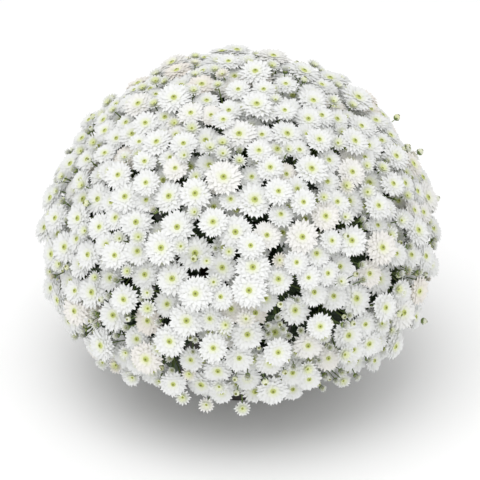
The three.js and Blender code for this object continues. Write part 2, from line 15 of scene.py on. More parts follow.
import bpy
import numpy as np
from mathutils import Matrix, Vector

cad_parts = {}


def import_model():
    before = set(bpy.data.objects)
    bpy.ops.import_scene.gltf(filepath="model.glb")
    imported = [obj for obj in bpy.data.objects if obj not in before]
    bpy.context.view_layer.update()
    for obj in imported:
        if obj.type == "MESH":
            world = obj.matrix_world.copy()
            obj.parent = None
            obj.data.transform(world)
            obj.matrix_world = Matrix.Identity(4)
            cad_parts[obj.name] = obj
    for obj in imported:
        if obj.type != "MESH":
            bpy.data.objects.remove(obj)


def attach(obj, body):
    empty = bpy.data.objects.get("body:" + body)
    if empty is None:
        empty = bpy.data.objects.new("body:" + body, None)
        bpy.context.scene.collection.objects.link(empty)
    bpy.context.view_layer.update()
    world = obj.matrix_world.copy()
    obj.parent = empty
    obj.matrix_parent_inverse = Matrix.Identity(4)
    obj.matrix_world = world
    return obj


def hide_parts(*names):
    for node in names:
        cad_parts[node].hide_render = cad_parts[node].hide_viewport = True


Array = np.ndarray

log = logging.getLogger("chrysanthemum")

# The seed and the word's mask belong to the seeded chance, which the solids use too.
SEED = 42
WORD = 0xFFFFFFFF
GOLDEN_ANGLE = math.pi * (3 - math.sqrt(5))
UP = np.array((0.0, 0.0, 1.0))
# The way to the light: in front of the plant and above it.
LIGHT = np.array((0.0, -0.77, 0.64))
# Where the numbers of buds and of strays start, and how far on a kind of filler's numbers start
# for each head that stands already. A head's number only serves its seeded chances.
FIRST_BUD = 400
FIRST_STRAY = 480
FILLER_STEP = 1000
# How far on the leaves' numbers start for each spray.
LEAF_STEP = 97
# The sockets of a Mix node that mixes colours.
MIX_FIRST, MIX_SECOND, MIX_RESULT = 6, 7, 2


class Trait(IntEnum):
    """What a seeded chance decides. The first ones are shared with the solids."""

    HEIGHT = 1
    SIDEWAYS = 2
    NOD_X = 3
    NOD_Y = 4
    NOD_Z = 5
    LARGE = 6
    LAYER = 7
    RADIUS = 8
    SPIN = 9
    BUD_TURN = 11
    BUD_DEPTH = 12
    TONE = 40
    VARIANT = 41
    DEPTH = 42
    HOLLOW = 43
    BLUSH = 44
    TURN = 50
    REACH = 51
    LEVEL = 52
    ROLL = 54


NODS = (Trait.NOD_X, Trait.NOD_Y, Trait.NOD_Z)


class Mark(IntEnum):
    """What each corner is marked with for the materials to read. The number is the mark's column."""

    TINT = 0
    TONE = 1
    ACROSS = 2
    ALONG = 3

    @property
    def label(self) -> str:
        """The name of its attribute on a piece."""
        return self.name.lower()


def chance(index: int, trait: int) -> float:
    """A repeatable number for one trait of one numbered thing.

    Args:
        index: the thing's number.
        trait: what is decided.

    Returns:
        A number from 0 to 1.
    """
    bits = ((index + 1) * 0x9E3779B1 ^ (trait + SEED) * 0x85EBCA6B) & WORD
    bits = ((bits ^ (bits >> 15)) * 0x2C1B3C6D) & WORD
    bits = ((bits ^ (bits >> 12)) * 0x297A2D39) & WORD
    return (bits ^ (bits >> 15)) / 2**32


def swing(index: int, trait: int) -> float:
    """The same chance, from -1 to 1."""
    return 2 * chance(index, trait) - 1


def between(low: float, high: float, share: float) -> float:
    """The number at a share of the way from low to high."""
    return low + (high - low) * share


def unit(vector: Array) -> Array:
    """The vector at length 1."""
    return vector / np.linalg.norm(vector)


def turn_to(axis: Array) -> Array:
    """The shortest turn that takes +Z to an axis.

    Args:
        axis: a unit vector that doesn't point straight down.

    Returns:
        A 3 by 3 matrix for column vectors.
    """
    x, y, z = axis
    k = 1 / (1 + z)
    return np.array(((1 - x * x * k, -x * y * k, x), (-x * y * k, 1 - y * y * k, y), (-x, -y, z)))


def spun(angle: float) -> Array:
    """A turn about +Z, as a 3 by 3 matrix."""
    c, s = math.cos(angle), math.sin(angle)
    return np.array(((c, -s, 0.0), (s, c, 0.0), (0.0, 0.0, 1.0)))


def raised(angle: float) -> Array:
    """A turn that lifts +X towards +Z by an angle, as a 3 by 3 matrix."""
    c, s = math.cos(angle), math.sin(angle)
    return np.array(((c, 0.0, -s), (0.0, 1.0, 0.0), (s, 0.0, c)))


def rolled(angle: float) -> Array:
    """A turn about +X, as a 3 by 3 matrix."""
    c, s = math.cos(angle), math.sin(angle)
    return np.array(((1.0, 0.0, 0.0), (0.0, c, -s), (0.0, s, c)))


def around(middle: Array, axis: Array, angle: float, radius: float) -> Array:
    """The point at an angle and a radius round a middle, in the plane across an axis."""
    offset = np.array((radius * math.cos(angle), radius * math.sin(angle), 0.0))
    return middle + turn_to(axis) @ offset


@dataclass(frozen=True)
class Dome:
    """The outer form of the plant: two half ellipsoids that meet at its waist.

    Its surface runs through the middles of the open blooms.

    Attributes:
        radius: its greatest radius, at the waist.
        waist: the height of the waist.
        crown: how far the upper half rises over the waist.
        fall: how far the lower half would fall below it, down to a pole.
        skirt: the height that heads grow down to.
    """

    radius: float = 0.241
    waist: float = 0.185
    crown: float = 0.234
    fall: float = 0.222
    skirt: float = 0.090

    @property
    def top(self) -> float:
        """The height of the dome's crown."""
        return self.waist + self.crown

    @property
    def heart(self) -> Array:
        """The point that all directions start from."""
        return np.array((0.0, 0.0, self.waist))

    def half(self, rise: float) -> float:
        """The half height of the ellipsoid above or below the waist."""
        return self.crown if rise > 0 else self.fall

    def reach(self, direction: Array) -> float:
        """The distance from the heart to the surface in a unit direction."""
        level = math.hypot(direction[0], direction[1]) / self.radius
        return 1 / math.hypot(level, direction[2] / self.half(direction[2]))

    def below(self, direction: Array, depth: float) -> Array:
        """The point at a depth below the surface, towards the heart."""
        return self.heart + direction * (self.reach(direction) - depth)

    def girth(self, height: float) -> float:
        """The radius at a height."""
        rise = height - self.waist
        return self.radius * math.sqrt(max(0.0, 1 - (rise / self.half(rise)) ** 2))

    def direction_at(self, height: float, turn: float) -> Array:
        """The unit direction from the heart to the surface at a height and a turn about +Z."""
        radius = self.girth(height)
        return unit(np.array((radius * math.cos(turn), radius * math.sin(turn), height - self.waist)))

    def spiral_height(self, index: int, count: int, lowest: float) -> float:
        """The height of one of a number of evenly spread places, counted from the top."""
        return self.top - (index + 0.5) / count * (self.top - lowest)

    def spiral(self, count: int, lowest: float) -> list[Array]:
        """Unit directions that spread evenly over the dome down to a height."""
        heights = [self.spiral_height(i, count, lowest) for i in range(count)]
        return [self.direction_at(height, i * GOLDEN_ANGLE) for i, height in enumerate(heights)]

    def normal(self, direction: Array) -> Array:
        """The outward normal of the surface in a direction."""
        squash = (self.radius / self.half(direction[2])) ** 2
        return unit(direction * (1, 1, squash))


class Stage(Enum):
    """How far a flower head has opened."""

    OPEN = "open"
    PLAIN = "open, with fewer rows"
    HALF = "half open"
    CUP = "cup"
    BUD = "bud"


@dataclass
class Head:
    """A flower head on its place.

    Attributes:
        direction: unit direction from the dome's heart.
        point: the middle of the head.
        axis: the way it faces.
        radius: its radius across the petals.
        stage: how far it has opened.
        number: its number, for seeded chances.
        layer: how many steps it sits below the surface.
        spray: the number of the spray that carries it.
    """

    direction: Array
    point: Array
    axis: Array
    radius: float
    stage: Stage
    number: int
    layer: int = 0
    spray: int = 0


@dataclass(frozen=True)
class Stray:
    """A head that stands out of the dome: turn in degrees, height and how far it stands out."""

    turn: float
    height: float
    stand_out: float
    is_open: bool


@dataclass(frozen=True)
class Growth:
    """One kind of head that fills the room between those of the solids.

    Attributes:
        stage: how far these have opened.
        count: how many are sought at most.
        radius: least and greatest radius.
        gap: least distance to the middle of any other head.
        depth: least and greatest depth below the dome's surface.
        in_hollows: whether they grow in the hollows of the dome too.
    """

    stage: Stage
    count: int
    radius: tuple[float, float]
    gap: float
    depth: tuple[float, float]
    in_hollows: bool


@dataclass
class Bed:
    """Places every head, spray and stem by the same rule as the solids, and fills the room between.

    Attributes:
        dome: the outer form.
        bloom_count: how many open blooms the solids have.
        lowest_stem: the height that stems spread down to.
        large_share: the share of blooms whose radius comes from large. The others take theirs from usual.
        wander: how far a bloom strays from its even place.
        wander_girth: the least girth that a stray to the side is reckoned at.
        top_gap: how far below the dome's top a bloom stays.
        lift: how far heads turn up.
        light_pull: how far they turn to the light.
        nod: how far they nod by chance.
        pull: how far a bloom turns to the way of its pedicel.
        least_bend: the least cosine between a bloom's axis and its pedicel.
        bend_step: the step by which an axis comes nearer until it keeps that.
        layers: how many depths there are, so that neighbours don't meet.
        layer_depth: how far apart those are.
        fullness: how much wider a bloom is than its place.
        bud_depth: how far below the surface a bud sits at most.
        bud_lean: how far from the middle of its spray it stands.
        bud_lift: how far a stray bud turns up.
        hub_depth: how far below the surface the pedicels of a spray meet.
        core_depth: how far below it the stems divide.
        root_sink: how much deeper a branch starts.
        root_turn: how far round to its spray it starts, in radians.
        root_share: the greatest share of the way that this may be.
        candidates: how many places are tried for each kind of filler.
        filler_top_gap: how far below the dome's top a filler stays.
        filler_nod: how much more the fillers nod.
        core_share: the share of a head's radius that counts as full.
        hollow_count: how many places may have a hollow, where only the small kinds grow.
        hollow_share: the share of them that has one, at the top and at the skirt.
        hollow_radius: its radius, at the top and at the skirt.
        hollow_depth: how far below the surface its middle is.
        hollow_margin: the share of a filler's greatest radius that it keeps off a hollow.
        strays: the heads that stand out of the dome.
        fillers: the heads that only this model has, by kind.
    """

    dome: Dome = field(default_factory=Dome)
    bloom_count: int = 348
    spray_count: int = 45
    stem_count: int = 11
    lowest_stem: float = 0.092
    large_share: float = 0.4
    large: tuple[float, float] = (0.0175, 0.020)
    usual: tuple[float, float] = (0.0145, 0.0175)
    wander: float = 0.009
    wander_girth: float = 0.036
    top_gap: float = 0.001
    lift: float = 0.2
    light_pull: float = 0.7
    nod: float = 0.16
    pull: float = 0.3
    least_bend: float = 0.7
    bend_step: float = 0.1
    layers: int = 4
    layer_depth: float = 0.006
    bud_every: int = 3
    fullness: float = 1.10
    bud_radius: float = 0.0045
    bud_depth: float = 0.016
    bud_lean: float = 0.16
    bud_lift: float = 0.35
    hub_depth: float = 0.062
    core_depth: float = 0.096
    root_sink: float = 0.005
    root_turn: float = 0.22
    root_share: float = 0.5
    stray_radius: float = 0.010
    candidates: int = 5200
    filler_top_gap: float = 1e-4
    filler_nod: float = 2.0
    core_share: float = 0.8
    hollow_count: int = 300
    hollow_share: tuple[float, float] = (0.02, 0.85)
    hollow_radius: tuple[float, float] = (0.010, 0.019)
    hollow_depth: float = 0.01
    hollow_margin: float = 0.5
    strays: tuple[Stray, ...] = (
        Stray(20, 0.314, 0.008, False),
        Stray(13, 0.277, 0.009, False),
        Stray(6, 0.227, 0.009, False),
        Stray(-9, 0.094, 0.014, False),
        Stray(-107, 0.096, 0.004, True),
        Stray(-100, 0.087, 0.004, True),
        Stray(-89, 0.084, 0.005, True),
    )
    fillers: tuple[Growth, ...] = (
        Growth(Stage.OPEN, 160, (0.0140, 0.0172), 0.0200, (0.004, 0.014), False),
        Growth(Stage.PLAIN, 190, (0.0150, 0.0180), 0.0150, (0.014, 0.028), False),
        Growth(Stage.HALF, 170, (0.0085, 0.0110), 0.0150, (0.000, 0.012), False),
        Growth(Stage.CUP, 140, (0.0055, 0.0070), 0.0125, (0.000, 0.012), True),
        Growth(Stage.BUD, 90, (0.0030, 0.0042), 0.0105, (0.002, 0.014), True),
    )

    def __post_init__(self) -> None:
        """Lays out the plant."""
        self.stem_directions = self.dome.spiral(self.stem_count, self.lowest_stem)
        self.spray_directions = self.dome.spiral(self.spray_count, self.dome.skirt)
        self.hubs = [self.dome.below(direction, self.hub_depth) for direction in self.spray_directions]
        self.spray_stems = [self.nearest(d, self.stem_directions) for d in self.spray_directions]
        self.roots = [self.root(number) for number in range(self.spray_count)]
        self.hollows = self.find_hollows()
        self.heads = self.blooms() + self.buds() + self.stray_heads()
        for growth in self.fillers:
            self.fill(growth)

    def find_hollows(self) -> list[tuple[Array, float]]:
        """The middle and radius of each hollow. Low down there are more of them, and larger ones."""
        found = []
        for number, direction in enumerate(self.dome.spiral(self.hollow_count, self.dome.skirt)):
            fallen = number / self.hollow_count
            if chance(number, Trait.HOLLOW) < between(*self.hollow_share, fallen):
                middle = self.dome.below(direction, self.hollow_depth)
                found.append((middle, between(*self.hollow_radius, fallen)))
        return found

    def nearest(self, direction: Array, directions: Sequence[Array]) -> int:
        """The number of the direction in a list that lies nearest to the given one."""
        return int(np.argmax(np.asarray(directions) @ direction))

    def root(self, number: int) -> Array:
        """Where the branch of a spray leaves its stem."""
        stem = self.stem_directions[self.spray_stems[number]]
        direction = self.spray_directions[number]
        angle = math.acos(min(1.0, float(stem @ direction)))
        share = min(self.root_turn / max(angle, 1e-6), self.root_share)
        towards = unit(stem + (direction - stem) * share)
        return clear_of_pot(self.dome.below(towards, self.core_depth + self.root_sink))

    def facing(self, direction: Array, outward: Array) -> Array:
        """The way a head faces: out, a little up, and to the light. At the back the dome shades itself.

        Args:
            direction: unit direction from the dome's heart to the head.
            outward: the way it would face without that.

        Returns:
            The axis, of any length.
        """
        return outward + UP * self.lift + LIGHT * self.light_pull * min(1.0, 1 - direction[1])

    def nodding(self, number: int) -> Array:
        """How a head nods by chance, to add to its axis."""
        return self.nod * np.array([swing(number, trait) for trait in NODS])

    def bloom(self, index: int) -> Head:
        """One open bloom of the solids, on the dome's surface."""
        height = self.dome.spiral_height(index, self.bloom_count, self.dome.skirt)
        height += self.wander * swing(index, Trait.HEIGHT)
        height = min(max(height, self.dome.skirt), self.dome.top - self.top_gap)
        aside = self.wander * swing(index, Trait.SIDEWAYS) / max(self.dome.girth(height), self.wander_girth)
        direction = self.dome.direction_at(height, index * GOLDEN_ANGLE + aside)
        spray = self.nearest(direction, self.spray_directions)
        point = self.dome.below(direction, 0.0)
        pedicel = unit(point - self.hubs[spray])
        axis = self.facing(direction, self.dome.normal(direction)) + self.nodding(index)
        axis = unit(axis + pedicel * self.pull)
        while axis @ pedicel < self.least_bend:
            axis = unit(axis + pedicel * self.bend_step)
        low, high = self.large if chance(index, Trait.LARGE) < self.large_share else self.usual
        radius = self.fullness * between(low, high, chance(index, Trait.RADIUS))
        layer = math.floor(self.layers * chance(index, Trait.LAYER))
        return Head(direction, point, axis, radius, Stage.OPEN, index, layer, spray)

    def blooms(self) -> list[Head]:
        """The open blooms of the solids, each in a layer that no neighbour has taken."""
        heads = [self.bloom(index) for index in range(self.bloom_count)]
        for number, head in enumerate(heads):
            close = [
                other.layer
                for other in heads[:number]
                if np.linalg.norm(other.point - head.point) < (other.radius + head.radius) / self.fullness
            ]
            choices = [(head.layer + i) % self.layers for i in range(self.layers)]
            head.layer = next((layer for layer in choices if layer not in close), head.layer)
        for head in heads:
            head.point = self.dome.below(head.direction, head.layer * self.layer_depth)
        return heads

    def buds(self) -> list[Head]:
        """The closed buds of the solids, one to every few sprays."""
        made = []
        for spray in range(0, self.spray_count, self.bud_every):
            direction = self.spray_directions[spray]
            turn = 2 * math.pi * chance(spray, Trait.BUD_TURN)
            direction = unit(around(direction, direction, turn, self.bud_lean))
            point = self.dome.below(direction, self.bud_depth * chance(spray, Trait.BUD_DEPTH))
            number = FIRST_BUD + spray
            made.append(Head(direction, point, direction, self.bud_radius, Stage.BUD, number, 0, spray))
        return made

    def stray_heads(self) -> list[Head]:
        """The heads that stand out of the dome. The open ones turn to the light."""
        made = []
        for number, stray in enumerate(self.strays, FIRST_STRAY):
            direction = self.dome.direction_at(stray.height, math.radians(stray.turn))
            point = self.dome.below(direction, -stray.stand_out)
            spray = self.nearest(direction, self.spray_directions)
            if stray.is_open:
                axis, radius, stage = self.facing(direction, direction), self.stray_radius, Stage.HALF
            else:
                axis, radius, stage = direction + UP * self.bud_lift, self.bud_radius, Stage.BUD
            made.append(Head(direction, point, unit(axis), radius, stage, number, 0, spray))
        return made

    def filler(self, growth: Growth, number: int, direction: Array, point: Array) -> Head:
        """One more head.

        Args:
            growth: its kind.
            number: its number.
            direction: unit direction from the dome's heart.
            point: its middle.

        Returns:
            The head.
        """
        spray = self.nearest(direction, self.spray_directions)
        nod = self.filler_nod * self.nodding(number)
        axis = unit(self.facing(direction, self.dome.normal(direction)) + nod)
        radius = between(*growth.radius, chance(number, Trait.RADIUS))
        return Head(direction, point, axis, radius, growth.stage, number, 0, spray)

    def fill(self, growth: Growth) -> None:
        """Adds heads of one kind wherever the room between the others is wide enough.

        Args:
            growth: the kind to add.
        """
        first = FILLER_STEP * (1 + len(self.heads))
        numbers = range(first, first + self.candidates)
        heights = [
            self.dome.spiral_height(i, self.candidates, self.dome.skirt)
            + self.wander * swing(number, Trait.HEIGHT)
            for i, number in enumerate(numbers)
        ]
        heights = np.clip(heights, self.dome.skirt, self.dome.top - self.filler_top_gap)
        directions = [self.dome.direction_at(height, i * GOLDEN_ANGLE) for i, height in enumerate(heights)]
        depths = [between(*growth.depth, chance(number, Trait.DEPTH)) for number in numbers]
        room = Room(np.array([self.dome.below(*place) for place in zip(directions, depths)]), self.core_share)
        for head in self.heads:
            room.take(head)
        if not growth.in_hollows:
            for middle, radius in self.hollows:
                room.close(middle, radius + self.hollow_margin * growth.radius[1])
        made = 0
        while made < growth.count and (best := room.widest(growth.gap)) is not None:
            head = self.filler(growth, numbers[best], directions[best], room.places[best])
            self.heads.append(head)
            room.take(head)
            made += 1
        log.info("filled with %d heads: %s", made, growth.stage.value)


@dataclass
class Room:
    """How much room the heads leave at the places that are tried for the next ones.

    Attributes:
        places: the places, one row each.
        core_share: the share of a head's radius that counts as full.
    """

    places: Array
    core_share: float

    def __post_init__(self) -> None:
        """Starts with no heads."""
        self.free = np.full(len(self.places), np.inf)
        self.nearest = np.full(len(self.places), np.inf)

    def take(self, head: Head) -> None:
        """Takes out the room that a head fills."""
        distance = np.linalg.norm(self.places - head.point, axis=1)
        self.nearest = np.minimum(self.nearest, distance)
        self.free = np.minimum(self.free, distance - self.core_share * head.radius)

    def close(self, middle: Array, radius: float) -> None:
        """Closes every place within a radius of a middle."""
        self.nearest[np.linalg.norm(self.places - middle, axis=1) < radius] = 0.0

    def widest(self, gap: float) -> int | None:
        """Finds the place with the most room.

        Args:
            gap: how far every other head's middle must be from it.

        Returns:
            The place's number, or None where no place is left.
        """
        free = np.where(self.nearest > gap, self.free, -np.inf)
        best = int(np.argmax(free))
        return None if free[best] == -np.inf else best


def clear_of_pot(point: Array, radius: float = 0.132, height: float = 0.164) -> Array:
    """Keeps a point clear of the pot.

    Args:
        point: the point.
        radius: how far out it is at least.
        height: how high it is where that no longer holds.

    Returns:
        The point, moved straight out where it has to be.
    """
    out = math.hypot(point[0], point[1])
    if point[2] < height and out < radius:
        return point * (radius / out, radius / out, 1)
    return point


@dataclass
class Shape:
    """Corners and faces with a mark on each corner, for copying and joining before they become a piece.

    Attributes:
        corners: places, one row a corner.
        loops: the corner numbers of all faces, one after another.
        sizes: how many corners each face has.
        marks: for each corner: tint, tone, across and along.
    """

    corners: Array
    loops: Array
    sizes: Array
    marks: Array

    @staticmethod
    def taken(obj: bpy.types.Object) -> "Shape":
        """Reads a modelled object's mesh and removes the object.

        Args:
            obj: a mesh object at the origin.

        Returns:
            Its shape, with marks of 0.
        """
        mesh = obj.data
        corners = np.empty(3 * len(mesh.vertices))
        mesh.vertices.foreach_get("co", corners)
        loops = np.empty(len(mesh.loops), dtype=np.int64)
        mesh.loops.foreach_get("vertex_index", loops)
        sizes = np.empty(len(mesh.polygons), dtype=np.int64)
        mesh.polygons.foreach_get("loop_total", sizes)
        bpy.data.objects.remove(obj)
        bpy.data.meshes.remove(mesh)
        corners = corners.reshape(-1, 3)
        return Shape(corners, loops, sizes, np.zeros((len(corners), 4)))

    @staticmethod
    def joined(shapes: Iterable["Shape"]) -> "Shape":
        """All of the shapes as one.

        Args:
            shapes: one or more shapes.

        Returns:
            One shape that holds them.
        """
        shapes = list(shapes)
        starts = np.cumsum([0] + [len(shape.corners) for shape in shapes])
        return Shape(
            np.concatenate([shape.corners for shape in shapes]),
            np.concatenate([shape.loops + start for shape, start in zip(shapes, starts)]),
            np.concatenate([shape.sizes for shape in shapes]),
            np.concatenate([shape.marks for shape in shapes]),
        )

    def moved(self, turn: Array, place: Array, tone: float | None = None) -> "Shape":
        """A copy, turned or scaled by a 3 by 3 matrix and then moved.

        Args:
            turn: the matrix, for column vectors.
            place: where its origin goes.
            tone: the tone mark of the copy, or None to keep it.

        Returns:
            The copy.
        """
        marks = self.marks.copy()
        if tone is not None:
            marks[:, Mark.TONE] = tone
        return Shape(self.corners @ turn.T + place, self.loops, self.sizes, marks)

    def piece(self, name: str, finish: bpy.types.Material, crease: float = 50.0) -> bpy.types.Object:
        """Makes the shape an object of the scene.

        Args:
            name: the piece's name.
            finish: its material.
            crease: the angle in degrees past which an edge stays sharp.

        Returns:
            The new object.
        """
        mesh = bpy.data.meshes.new(name)
        mesh.vertices.add(len(self.corners))
        mesh.vertices.foreach_set("co", self.corners.astype(np.float32).ravel())
        mesh.loops.add(len(self.loops))
        mesh.loops.foreach_set("vertex_index", self.loops.astype(np.int32))
        mesh.polygons.add(len(self.sizes))
        starts = np.concatenate(([0], np.cumsum(self.sizes)[:-1]))
        mesh.polygons.foreach_set("loop_start", starts.astype(np.int32))
        for mark in Mark:
            attribute = mesh.attributes.new(mark.label, "FLOAT", "POINT")
            attribute.data.foreach_set("value", self.marks[:, mark].astype(np.float32))
        mesh.update(calc_edges=True)
        mesh.validate()
        mesh.materials.append(finish)
        obj = bpy.data.objects.new(name, mesh)
        bpy.context.scene.collection.objects.link(obj)
        select_only(obj)
        bpy.ops.object.shade_smooth_by_angle(angle=math.radians(crease))
        return obj


def select_only(obj: bpy.types.Object) -> None:
    """Selects this object alone and makes it active."""
    bpy.ops.object.select_all(action="DESELECT")
    obj.select_set(True)
    bpy.context.view_layer.objects.active = obj


@contextmanager
def editing() -> Iterator[None]:
    """Edit mode on the active object with all of it selected, and object mode again at the end."""
    bpy.ops.object.mode_set(mode="EDIT")
    bpy.ops.mesh.select_all(action="SELECT")
    yield
    bpy.ops.object.mode_set(mode="OBJECT")


def select_faces(obj: bpy.types.Object, wanted: Callable[[bpy.types.MeshPolygon], bool]) -> None:
    """Selects the faces that pass a test, from edit mode and back into it.

    Args:
        obj: the object in edit mode.
        wanted: the test.
    """
    bpy.ops.mesh.select_mode(type="FACE")
    bpy.ops.mesh.select_all(action="DESELECT")
    bpy.ops.object.mode_set(mode="OBJECT")
    for face in obj.data.polygons:
        face.select = wanted(face)
    bpy.ops.object.mode_set(mode="EDIT")


def apply_modifier(obj: bpy.types.Object, kind: str, **settings: object) -> None:
    """Adds a modifier with its settings and applies it."""
    modifier = obj.modifiers.new(kind.lower(), kind)
    for name, value in settings.items():
        setattr(modifier, name, value)
    select_only(obj)
    bpy.ops.object.modifier_apply(modifier=modifier.name)


@dataclass(frozen=True)
class Petal:
    """One ray floret: a strap with a low midrib and a point. Lengths are shares of its own length.

    Attributes:
        stations: how far out, how far up and how wide to each side, from the base on.
        tip: how far out and up its point is.
        thickness: how high the midrib stands over the edges.
    """

    stations: tuple[tuple[float, float, float], ...]
    tip: tuple[float, float]
    thickness: float = 0.010

    def model(self) -> Shape:
        """Extrudes the strap from a flattened three-sided bar, and closes it at the tip.

        Returns:
            The petal along +X, with across and along marks.
        """
        (x, z, w), *others = self.stations
        bpy.ops.mesh.primitive_circle_add(vertices=3, radius=1, fill_type="NGON", location=(x, 0, z))
        obj = bpy.context.active_object
        obj.rotation_euler = (math.pi / 2, 0, math.pi / 2)
        bpy.ops.object.transform_apply()
        with editing():
            # The triangle's base is half a radius below its middle, its height 1.5 radii and its side
            # the root of 3.
            bpy.ops.transform.translate(value=(0, 0, 0.5))
            squash = (1, w * 2 / math.sqrt(3), self.thickness * 2 / 3)
            bpy.ops.transform.resize(value=squash, center_override=(x, 0, z))
            for next_x, next_z, next_w in others:
                step = {"value": (next_x - x, 0, next_z - z)}
                bpy.ops.mesh.extrude_region_move(TRANSFORM_OT_translate=step)
                bpy.ops.transform.resize(value=(1, next_w / w, 1), center_override=(next_x, 0, next_z))
                x, z, w = next_x, next_z, next_w
            step = {"value": (self.tip[0] - x, 0, self.tip[1] - z)}
            bpy.ops.mesh.extrude_region_move(TRANSFORM_OT_translate=step)
            bpy.ops.mesh.merge(type="CENTER")
            bpy.ops.mesh.select_all(action="SELECT")
            bpy.ops.mesh.normals_make_consistent(inside=False)
        shape = Shape.taken(obj)
        shape.marks[:, Mark.ACROSS] = np.sign(np.round(shape.corners[:, 1], 5))
        shape.marks[:, Mark.ALONG] = shape.corners[:, 0] / self.tip[0]
        return shape


@dataclass(frozen=True)
class Whorl:
    """One row of petals round a head.

    Attributes:
        petal: its petal.
        count: how many stand round.
        length: their length as a share of the head's radius.
        rise: how steeply they rise, in degrees.
        lift: how high they start, as a share of the radius.
        width: how wide they are, as a share of a petal that is as long as the radius.
    """

    petal: Petal
    count: int
    length: float
    rise: float
    lift: float
    width: float


@dataclass(frozen=True)
class HeadForm:
    """How a head of one stage is made, at a radius of 1.

    Attributes:
        whorls: its rows of petals, the outer one first.
        disc: the radius of its disc.
        florets: how many florets stand on the disc.
        calyx: the radius of its green cup.
        blush: how far out along a petal the yellow-green of the heart reaches.
        variants: how many different ones are made.
    """

    whorls: tuple[Whorl, ...]
    disc: float
    florets: int
    calyx: float
    blush: float
    variants: int


@dataclass(frozen=True)
class BudForm:
    """How a closed bud is made, at a radius of 1: petals folded into a ridged ball, a tip and a cup.

    Attributes:
        groove: how deep the grooves between its folded petals are.
        height: its height as a share of its width.
        middle: how high its middle sits.
        ridge_tint: how green its ridges are.
        groove_tint: how green its grooves are.
        tip_tint: how far out on a disc the tip takes its colour from.
        tip_size: the tip's radius across and up.
        tip_place: how high the tip sits.
        cup_size: the green cup's radius across and up.
        cup_place: how high the cup sits.
    """

    groove: float = 0.12
    height: float = 0.92
    middle: float = 0.55
    ridge_tint: float = 0.4
    groove_tint: float = 0.8
    tip_tint: float = 0.2
    tip_size: tuple[float, float] = (0.42, 0.3)
    tip_place: float = 1.36
    cup_size: tuple[float, float] = (1.02, 1.1)
    cup_place: float = 0.58


@dataclass(frozen=True)
class Sway:
    """How much the petals of one head differ by chance.

    Attributes:
        turn: how far to each side they stand, as a share of the step to the next one.
        rise: the usual spread of their rise, in degrees.
        roll: the usual spread of their roll, in radians.
        length: their least and greatest length as a share of the whorl's.
        width: their least and greatest width as a share of the whorl's.
    """

    turn: float = 0.16
    rise: float = 1.8
    roll: float = 0.07
    length: tuple[float, float] = (0.9, 1.06)
    width: tuple[float, float] = (0.9, 1.08)


@dataclass
class HeadParts:
    """The shapes of one head, by finish."""

    petals: Shape
    heart: Shape
    green: Shape


STRAP = Petal(((0.05, 0.0, 0.05), (0.76, 0.035, 0.112)), (1.0, 0.008))
SHORT_STRAP = Petal(((0.05, 0.0, 0.07), (0.72, 0.03, 0.128)), (1.0, 0.02))
CUPPED = Petal(((0.05, 0.0, 0.07), (0.60, -0.06, 0.170)), (1.0, 0.03))

FORMS = {
    Stage.OPEN: HeadForm(
        whorls=(
            Whorl(STRAP, 19, 1.02, -1.0, 0.00, 1.08),
            Whorl(STRAP, 19, 0.95, 2.5, 0.012, 1.08),
            Whorl(SHORT_STRAP, 15, 0.82, 6.0, 0.024, 1.05),
            Whorl(SHORT_STRAP, 13, 0.66, 10.0, 0.036, 1.00),
            Whorl(SHORT_STRAP, 10, 0.48, 15.0, 0.048, 0.90),
        ),
        disc=0.19,
        florets=12,
        calyx=0.20,
        blush=0.35,
        variants=6,
    ),
    Stage.PLAIN: HeadForm(
        whorls=(
            Whorl(STRAP, 19, 1.02, 0.0, 0.00, 1.08),
            Whorl(STRAP, 17, 0.94, 5.0, 0.015, 1.08),
            Whorl(SHORT_STRAP, 12, 0.70, 12.0, 0.03, 1.05),
        ),
        disc=0.21,
        florets=12,
        calyx=0.20,
        blush=0.35,
        variants=4,
    ),
    Stage.HALF: HeadForm(
        whorls=(
            Whorl(STRAP, 15, 1.10, 14.0, 0.00, 1.15),
            Whorl(CUPPED, 11, 1.00, 28.0, 0.02, 1.05),
            Whorl(CUPPED, 8, 0.78, 44.0, 0.04, 0.95),
        ),
        disc=0.24,
        florets=9,
        calyx=0.30,
        blush=0.60,
        variants=5,
    ),
    Stage.CUP: HeadForm(
        whorls=(
            Whorl(CUPPED, 10, 1.35, 54.0, 0.00, 1.30),
            Whorl(CUPPED, 8, 1.20, 66.0, 0.02, 1.20),
            Whorl(CUPPED, 4, 0.90, 78.0, 0.04, 1.00),
        ),
        disc=0.30,
        florets=0,
        calyx=0.55,
        blush=0.75,
        variants=4,
    ),
}


def cut_ball(segments: int, rings: int, level: float, side: int, squash: float) -> Shape:
    """A ball of radius 1 that is cut level, closed there and squashed.

    Args:
        segments: how many sides it has.
        rings: how many rings.
        level: the height of the cut.
        side: 1 to cut off what is above, -1 for what is below.
        squash: how high it ends up, as a share.

    Returns:
        Its shape.
    """
    bpy.ops.mesh.primitive_uv_sphere_add(segments=segments, ring_count=rings, radius=1)
    obj = bpy.context.active_object
    with editing():
        bpy.ops.mesh.bisect(plane_co=(0, 0, level), plane_no=(0, 0, side), clear_outer=True, use_fill=True)
        bpy.ops.mesh.select_all(action="SELECT")
        bpy.ops.transform.resize(value=(1, 1, squash))
    return Shape.taken(obj)


